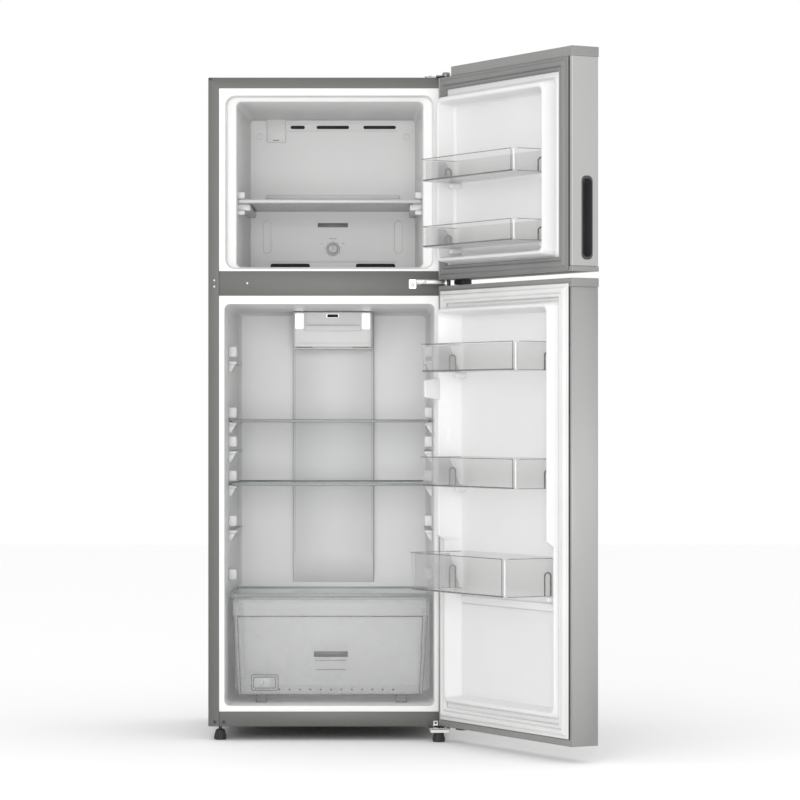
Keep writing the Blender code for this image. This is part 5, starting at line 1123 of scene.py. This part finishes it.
top = freezer_door[1]
notch_x = door_half - 0.060
form = bmesh.new()
cap(form, top - 0.0235, top, high_x=notch_x)
block(form, (notch_x - 0.006, outer_y + 0.002, top - 0.036),
      (door_half - 0.002, inner_y - 0.004, top - 0.024), 0.003, 4)
hang("freezer_door_top", form, "freezer_door", cap_grey, ["freezer_door_top_cap"], "cap_grey",
     soften=0.0008, angle=40)
form = bmesh.new()
block(form, (-door_half - 0.0008, outer_y + 0.012, top - 0.0185),
      (-door_half + 0.0335, inner_y + 0.0008, top + 0.0004),
      0.0035, 4)
hang("hole_cover", form, "freezer_door", cap_grey, ["hinge_hole_cover"], "cap_grey", angle=40)
low = freezer_door[0]
form = bmesh.new()
cap(form, low, low + 0.0122)
hang("freezer_door_foot", form, "freezer_door", cap_grey, ["freezer_door_bottom_cap"], "cap_grey",
     soften=0.0008, angle=40)
form = bmesh.new()
top = fridge_door[1]
cap(form, top - 0.0210, top)
block(form, (-door_half + 0.004, inner_y - 0.002, top - 0.0125),
      (door_half - 0.004, inner_y + 0.0020, top - 0.0100), 0.0008)
hang("fridge_door_top", form, "fridge_door", cap_grey, ["fridge_door_top_cap"], "cap_grey",
     soften=0.0008, angle=40)
low = fridge_door[0]
form = bmesh.new()
cap(form, low, low + 0.0163, proud=-0.0011)
block(form, (-door_half + 0.0012, inner_y - 0.010, low + 0.0004),
      (door_half - 0.0012, inner_y + 0.0004, low + 0.0163),
      0.0020, 3)
hang("fridge_door_foot", form, "fridge_door", cap_grey, ["fridge_door_bottom_cap"], "cap_grey",
     soften=0.0008, angle=40)

# ---------------------------------------------------------------- door stops
# Black nylon blocks screwed under each door at the hinge end; they meet the hinge arm when
# the door is wide open.
for label, body, node, low_x, deep in (
    ("freezer", "freezer_door", "freezer_door_stop", 0.256, 0.034),
    ("fridge", "fridge_door", "fridge_door_stop", 0.268, 0.030),
):
    lo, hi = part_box(node)
    form = bmesh.new()
    block(form, (low_x, outer_y + 0.006, lo.z), (0.300, outer_y + deep, hi.z), 0.004, 4, 2)
    block(form, (low_x + 0.006, outer_y + 0.010, lo.z - 0.0006),
          (0.292, outer_y + deep - 0.005, lo.z + 0.001), 0.002, 3)
    hang(label + "_stop_block", form, body, black_nylon, [node], "black_plastic", soften=0.0006, angle=40)


# ---------------------------------------------------------------- door bins
# Clear moulded polystyrene, tinted a little with smoke. Each tapers to its floor, has a
# rolled rim, and an arched hook in each end wall that drops over the liner's lug.
clear_bin = clear("clear_bin", (0.55, 0.55, 0.545), 0.028, 0.27, 0.07, 0.01, 50.0)
patterned = clear("patterned_floor", (0.55, 0.55, 0.55), 0.08, 0.50, 0.10, 0.90, 420.0)
# A near-white clear finish, a painted highlight for the bins' free corners.
corner_glint = clear("corner_glint", (0.86, 0.86, 0.86), 0.70, 0.95, 0.10)


def door_bin(node, body, low_x, high_x, reach, floor_material):
    lo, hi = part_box(node)
    rear, ahead = inner_y - 0.009, inner_y + reach
    low_z, high_z = lo.z, hi.z
    form = bmesh.new()
    shell(form, "plan", [
        (low_x, high_x, rear, ahead, 0.014, high_z),
        (low_x + 0.0004, high_x - 0.0004, rear + 0.0004, ahead - 0.0004, 0.014, high_z - 0.0040),
        (low_x + 0.0010, high_x - 0.0010, rear + 0.0010, ahead - 0.0012, 0.014, high_z - 0.0060),
        (low_x + 0.0030, high_x - 0.0030, rear + 0.0030, ahead - 0.0034, 0.014, low_z + 0.0060),
        (low_x + 0.0050, high_x - 0.0050, rear + 0.0048, ahead - 0.0056, 0.012, low_z + 0.0010),
        (low_x + 0.0080, high_x - 0.0080, rear + 0.0070, ahead - 0.0086, 0.010, low_z + 0.0002),
    ], steps=7)
    facing(form, (0, 0, -1))
    form.faces.ensure_lookup_table()
    for face in form.faces:
        face.material_index = 1 if face.normal.z < -0.9 else 0
    hang(node.replace("_bin", "_tray"), form, body, [clear_bin, floor_material], [node], "clear_plastic",
        wall=0.0020, soften=0.0006, angle=25)
    form = bmesh.new()
    # rim line, foot line, a dark line of painted shade down the free corner beside its painted highlight,
    # and the arched hook on each end wall
    for z, tall, inset in ((high_z - 0.0024, 0.0016, 0.0), (low_z + 0.0022, 0.0034, 0.0034)):
        block(form, (low_x + 0.010, ahead - 0.0014 - inset, z),
              (high_x - 0.012, ahead + 0.0003 - inset, z + tall), 0.0004)
        for x in (low_x + 0.0004 + inset, high_x - 0.0012 - inset):
            block(form, (x - 0.0006, rear + 0.004, z), (x + 0.0012, ahead - 0.013, z + 0.0014), 0.0004)
    block(form, (low_x + 0.0128, ahead - 0.0040, low_z + 0.003),
          (low_x + 0.0142, ahead - 0.0022, high_z - 0.002), 0.0004)
    arch_y = inner_y + 0.022
    for x in (low_x + 0.0035, high_x - 0.0050):
        height = (high_z - low_z) * 0.62
        for y in (arch_y - 0.0085, arch_y + 0.0085):
            block(form, (x - 0.0012, y - 0.0013, low_z + 0.003),
                  (x + 0.0026, y + 0.0013, low_z + height - 0.0085), 0.0005)
        for step in range(7):
            angle = math.pi * (step + 0.5) / 7
            y, z = arch_y - 0.0085 * math.cos(angle), low_z + height - 0.0085 + 0.0085 * math.sin(angle)
            block(form, (x - 0.0012, y - 0.0018, z - 0.0018), (x + 0.0026, y + 0.0018, z + 0.0018),
                  0.0006)
    hang(node.replace("_bin", "_bin_edges"), form, body, smoke_edge, slot="clear_plastic", angle=40)
    # a bright bar down the free corner, a painted highlight for the light the thick corner catches, and
    # the stiffened end by the hinge
    form = bmesh.new()
    round_bar(form, 0.0016, (low_x + 0.0062, ahead - 0.0068, low_z + 0.005),
              (low_x + 0.0052, ahead - 0.0058, high_z - 0.004), 12)
    hang(node.replace("_bin", "_bin_corner_glint"), form, body, corner_glint, slot="clear_plastic", angle=40)
    form = bmesh.new()
    gusset = bmesh.ops.create_cube(form, size=1.0)["verts"]
    for vert in gusset:
        behind, upper = vert.co.y < 0, vert.co.z > 0
        y = rear + (0.040 if upper else 0.012) if behind else ahead - 0.016
        vert.co = at(high_x - (0.0062 if vert.co.x < 0 else 0.0050), y,
                     high_z - 0.005 if upper else low_z + 0.004)
    soften_edges(form, gusset, 0.0004)
    hang(node.replace("_bin", "_bin_gusset"), form, body, clear_smoke, slot="clear_plastic", angle=40)


for node, body in freezer_bins:
    door_bin(node, body, *freezer_bin_ends, 0.104, patterned)
for node, body in fridge_bins:
    door_bin(node, body, *fridge_bin_ends, 0.147 if node.startswith("lower") else 0.117, clear_bin)

# ---------------------------------------------------------------- hinges
# Pressed steel plates, zinc plated, with the pins riveted in. The top one bolts to the
# cabinet's roof, the middle one to the mullion, the lowest under the case.
bright_steel = finish("bright_steel", (0.34, 0.34, 0.335), 0.30, 1.0, 0.04, 300.0, 0.03)
pin_x, pin_y = pin.x - middle, pin.y - front
form = bmesh.new()
plate = case_top + 0.0004
block(form, (pin_x - 0.053, 0.006, plate), (pin_x + 0.007, 0.060, plate + 0.003), 0.005, 4, 2)
block(form, (pin_x - 0.025, pin_y, plate), (pin_x + 0.010, 0.012, plate + 0.003), 0.0012, 2)
turned(form, [(0.0, 0.0), (0.0100, 0.0), (0.0100, 0.0062), (0.0088, 0.0086), (0.0060, 0.0094),
              (0.0, 0.0094)],
       (pin_x, pin_y, plate), (0, 0, 1), 32)
round_bar(form, 0.004, (pin_x, pin_y, case_top - 0.0140), (pin_x, pin_y, plate + 0.001))
for x, y in ((pin_x - 0.039, 0.030), (pin_x - 0.007, 0.045)):
    screw(form, (x, y, plate + 0.003), 0.0062, 0.0036, (0, 0, 1))
hinge_zinc = finish("hinge_zinc", (0.24, 0.24, 0.235), 0.38, 0.9, 0.06, 400.0, 0.05)
fit("roof_hinge", form, "cabinet", hinge_zinc, ["top_hinge"], "zinc_steel", angle=40)

arm_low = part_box("fridge_door_top_cap")[1].z + 0.0048
arm_high = arm_low + 0.003
form = bmesh.new()
tab_x, tab_top, plate_front, plate_back = pin_x - 0.093, 1.1600, -0.0035, -0.0005
block(form, (tab_x, plate_front, arm_low - 0.0100), (tab_x + 0.0180, plate_back, tab_top), 0.0026, 4, 1)
block(form, (tab_x + 0.0160, plate_front, arm_low), (pin_x - 0.003, plate_back, tab_top), 0.0012, 2)
block(form, (pin_x - 0.063, pin_y - 0.004, arm_low), (pin_x + 0.005, -0.0015, arm_high), 0.0012, 2)
turned(form, [(0.0, 0.0), (0.0105, 0.0), (0.0105, 0.0030), (0.0, 0.0030)], (pin_x, pin_y, arm_low),
       (0, 0, 1), 32)
turned(form, [(0.0, 0.0), (0.0064, 0.0), (0.0064, 0.0032), (0.0, 0.0032)], (pin_x, pin_y, arm_high),
       (0, 0, 1), 32)
turned(form, [(0.0, 0.0), (0.0036, 0.0), (0.0040, 0.0010), (0.0040, 0.0340), (0.0034, 0.0360),
              (0.0, 0.0370)],
       (pin_x, pin_y, arm_low - 0.0160), (0, 0, 1), 24)
fit("middle_hinge_bracket", form, "cabinet", bright_steel, ["middle_hinge"], "hinge_steel", angle=40)
form = bmesh.new()
screw(form, (tab_x + 0.009, -0.0036, arm_low - 0.001), 0.0046, 0.0026)
screw(form, (tab_x + 0.040, -0.0036, arm_low + 0.0055), 0.0040, 0.0022)
fit("middle_hinge_bolts", form, "cabinet", zinc, ["middle_hinge_screw"], "hinge_steel")

plate = base - 0.0004
form = bmesh.new()
block(form, (pin_x - 0.0435, pin_y - 0.018, plate - 0.003), (pin_x + 0.010, 0.040, plate), 0.004, 4, 2)
block(form, (pin_x - 0.0395, pin_y - 0.018, plate - 0.011),
      (pin_x + 0.006, pin_y - 0.015, plate - 0.0012), 0.0030, 4, 1)
block(form, (pin_x - 0.0330, plate_front, plate - 0.002), (pin_x - 0.0190, plate_back, plate + 0.004),
      0.0008, 2)
block(form, (pin_x - 0.0315, plate_front, plate), (pin_x - 0.0205, plate_back, plate + 0.015), 0.0020, 4,
      1)
round_bar(form, 0.004, (pin_x, pin_y, plate - 0.002), (pin_x, pin_y, plate + 0.020))
turned(form, [(0.0, 0.0), (0.0070, 0.0), (0.0070, 0.0018), (0.0058, 0.0022), (0.0, 0.0022)],
       (pin_x, pin_y, plate),
       (0, 0, 1), 32)
fit("bottom_hinge_bracket", form, "cabinet", bright_steel, ["bottom_hinge"], "hinge_steel", angle=40)
form = bmesh.new()
screw(form, (pin_x - 0.026, -0.0036, plate + 0.0095), 0.0030, 0.0010)
fit("bottom_hinge_bolt", form, "cabinet", black_nylon, slot="black_plastic")

# ---------------------------------------------------------------- feet and rollers
# Black nylon levelling feet at the front turn on steel studs, fluted for the fingers; two
# plain rollers carry the back.
for label, body, node, x, y in (
    ("left", "left_foot", "front_left_foot", -case_half + 0.0288, 0.030),
    ("right", "right_foot", "front_right_foot", case_half - 0.0305, -0.027),
):
    form = bmesh.new()
    turned(form, [
        (0.0, 0.0), (0.0130, 0.0), (0.0150, 0.0012), (0.0160, 0.0034), (0.0157, 0.0062),
        (0.0148, 0.0072), (0.0144, 0.0080),
        (0.0104, 0.0234), (0.0100, 0.0252), (0.0086, 0.0270), (0.0042, 0.0274), (0.0040, 0.0280),
        (0.0040, 0.0374), (0.0, 0.0374),
    ], (x, y, 0.0), (0, 0, 1), 40)
    for flute in range(16):
        angle = 2 * math.pi * flute / 16
        ox, oy = math.cos(angle), math.sin(angle)
        round_bar(form, 0.0016, (x + 0.0146 * ox, y + 0.0146 * oy, 0.0070),
                  (x + 0.0100 * ox, y + 0.0100 * oy, 0.0250), 8,
                  0.0012)
    fit(label + "_levelling_foot", form, body, black_nylon, [node], "black_plastic", angle=35)
roller_nylon = finish("roller_nylon", (0.05, 0.05, 0.052), 0.5, 0.0, 0.1, 300.0, 0.05)
for label, body, node in (("left", "left_roller", "rear_left_roller"),
                          ("right", "right_roller", "rear_right_roller")):
    lo, hi = place_of(node)
    centre = (lo + hi) / 2
    form = bmesh.new()
    turned(form, [
        (0.0, -0.013), (0.0029, -0.013), (0.0029, -0.0090), (0.0070, -0.0090), (0.0080, -0.0070),
        (0.0130, -0.0070), (0.0142, -0.0090),
        (0.0158, -0.0090), (0.0165, -0.0080), (0.0165, 0.0080), (0.0158, 0.0090), (0.0142, 0.0090),
        (0.0130, 0.0070), (0.0080, 0.0070),
        (0.0070, 0.0090), (0.0029, 0.0090), (0.0029, 0.013), (0.0, 0.013),
    ], centre, (1, 0, 0), 40)
    fit(label + "_rear_wheel", form, body, roller_nylon, [node], "black_plastic", angle=35)

# ---------------------------------------------------------------- back and underside
# A plain galvanised sheet closes the back over the condenser coil. Under it an open niche
# holds the compressor on its tray, with the drain pan beside it.
galvanised = finish("galvanised", (0.50, 0.52, 0.53), 0.42, 0.8, 0.05, 300.0, 0.05)
lo, hi = place_of("rear_panel")
form = bmesh.new()
y = hi.y
shell(form, "front", [
    (-0.3036, 0.3036, lo.z, hi.z, 0.0020, y - 0.0002),
    (-0.2700, 0.2700, lo.z + 0.034, hi.z - 0.034, 0.0200, y - 0.0002),
    (-0.2660, 0.2660, lo.z + 0.038, hi.z - 0.038, 0.0180, y + 0.0030),
], steps=6)
facing(form, (0, 1, 0))
for edge_z in (lo.z + 0.017, (lo.z + hi.z) / 2, hi.z - 0.017):
    for x in (-0.287, 0.287):
        screw(form, (x, y, edge_z), 0.0042, 0.0018, (0, 1, 0))
fit("rear_sheet", form, "cabinet", galvanised, ["rear_panel"], "zinc_steel", angle=30)


def paint(material, *nodes):
    """Gives CAD pieces that are seen as they are a better material."""
    for node in nodes:
        frame["nodes"][node].data.materials.clear()
        frame["nodes"][node].data.materials.append(material)


paint(galvanised, "niche_plate", "bottom_plate", "compressor_tray")

compressor_black = finish("compressor_black", (0.016, 0.016, 0.017), 0.34, 0.2, 0.15, 160.0, 0.10)
lo, hi = place_of("compressor")
cx, cy, floor_z = 0.115, (lo.y + hi.y) / 2, lo.z
form = bmesh.new()
turned(form, [
    (0.0, 0.011), (0.052, 0.011), (0.068, 0.016), (0.075, 0.030), (0.0790, 0.062), (0.0815, 0.066),
    (0.0815, 0.072), (0.0790, 0.076),
    (0.0770, 0.104), (0.0700, 0.126), (0.0560, 0.141), (0.0340, 0.149), (0.0, 0.152),
], (cx, cy, floor_z), (0, 0, 1), 56)
block(form, (cx - 0.090, cy - 0.075, floor_z + 0.009), (cx + 0.090, cy + 0.075, floor_z + 0.012), 0.0010,
      2)
for sx in (-1, 1):
    for sy in (-1, 1):
        turned(form, [(0.0, 0.0), (0.011, 0.0), (0.013, 0.003), (0.012, 0.0085), (0.008, 0.0095),
                      (0.007, 0.0135), (0.0, 0.0140)],
               (cx + sx * 0.076, cy + sy * 0.062, floor_z), (0, 0, 1), 20)
block(form, (cx - 0.115, cy - 0.030, floor_z + 0.045), (cx - 0.072, cy + 0.030, floor_z + 0.100), 0.004,
      3)
fit("compressor_shell", form, "cabinet", compressor_black, ["compressor"], "compressor_black", angle=35)
copper = finish("copper", (0.55, 0.25, 0.13), 0.3, 1.0, 0.12, 200.0, 0.04)
form = bmesh.new()
for start, end in (
    ((cx - 0.030, cy + 0.076, floor_z + 0.090), (cx - 0.030, cy + 0.094, floor_z + 0.090)),
    ((cx + 0.030, cy + 0.076, floor_z + 0.060), (cx + 0.030, cy + 0.094, floor_z + 0.060)),
    ((cx - 0.030, cy + 0.092, floor_z + 0.088), (cx - 0.030, cy + 0.092, floor_z + 0.240)),
    ((cx + 0.030, cy + 0.092, floor_z + 0.058), (cx + 0.030, cy + 0.092, floor_z + 0.240)),
):
    round_bar(form, 0.0032, start, end, 16)
fit("compressor_tubes", form, "cabinet", copper, slot="painted_tube", angle=40)
paint(pan_grey_and_groove_shade, "drain_pan")
paint(black_nylon, "power_inlet", "fan_motor", "evaporator_fan")
paint(finish("coil_black", (0.03, 0.03, 0.03), 0.4, 0.3, 0.1, 200.0, 0.05), "condenser_coil")
paint(finish("fin_stack", (0.70, 0.71, 0.72), 0.35, 0.9, 0.1, 60.0, 0.3, (12.0, 1.0, 1.0)), "evaporator")
paint(finish("foam", (0.72, 0.62, 0.34), 0.9, 0.0, 0.1, 220.0, 0.5),
      "cabinet_insulation", "freezer_door_insulation", "fridge_door_insulation")
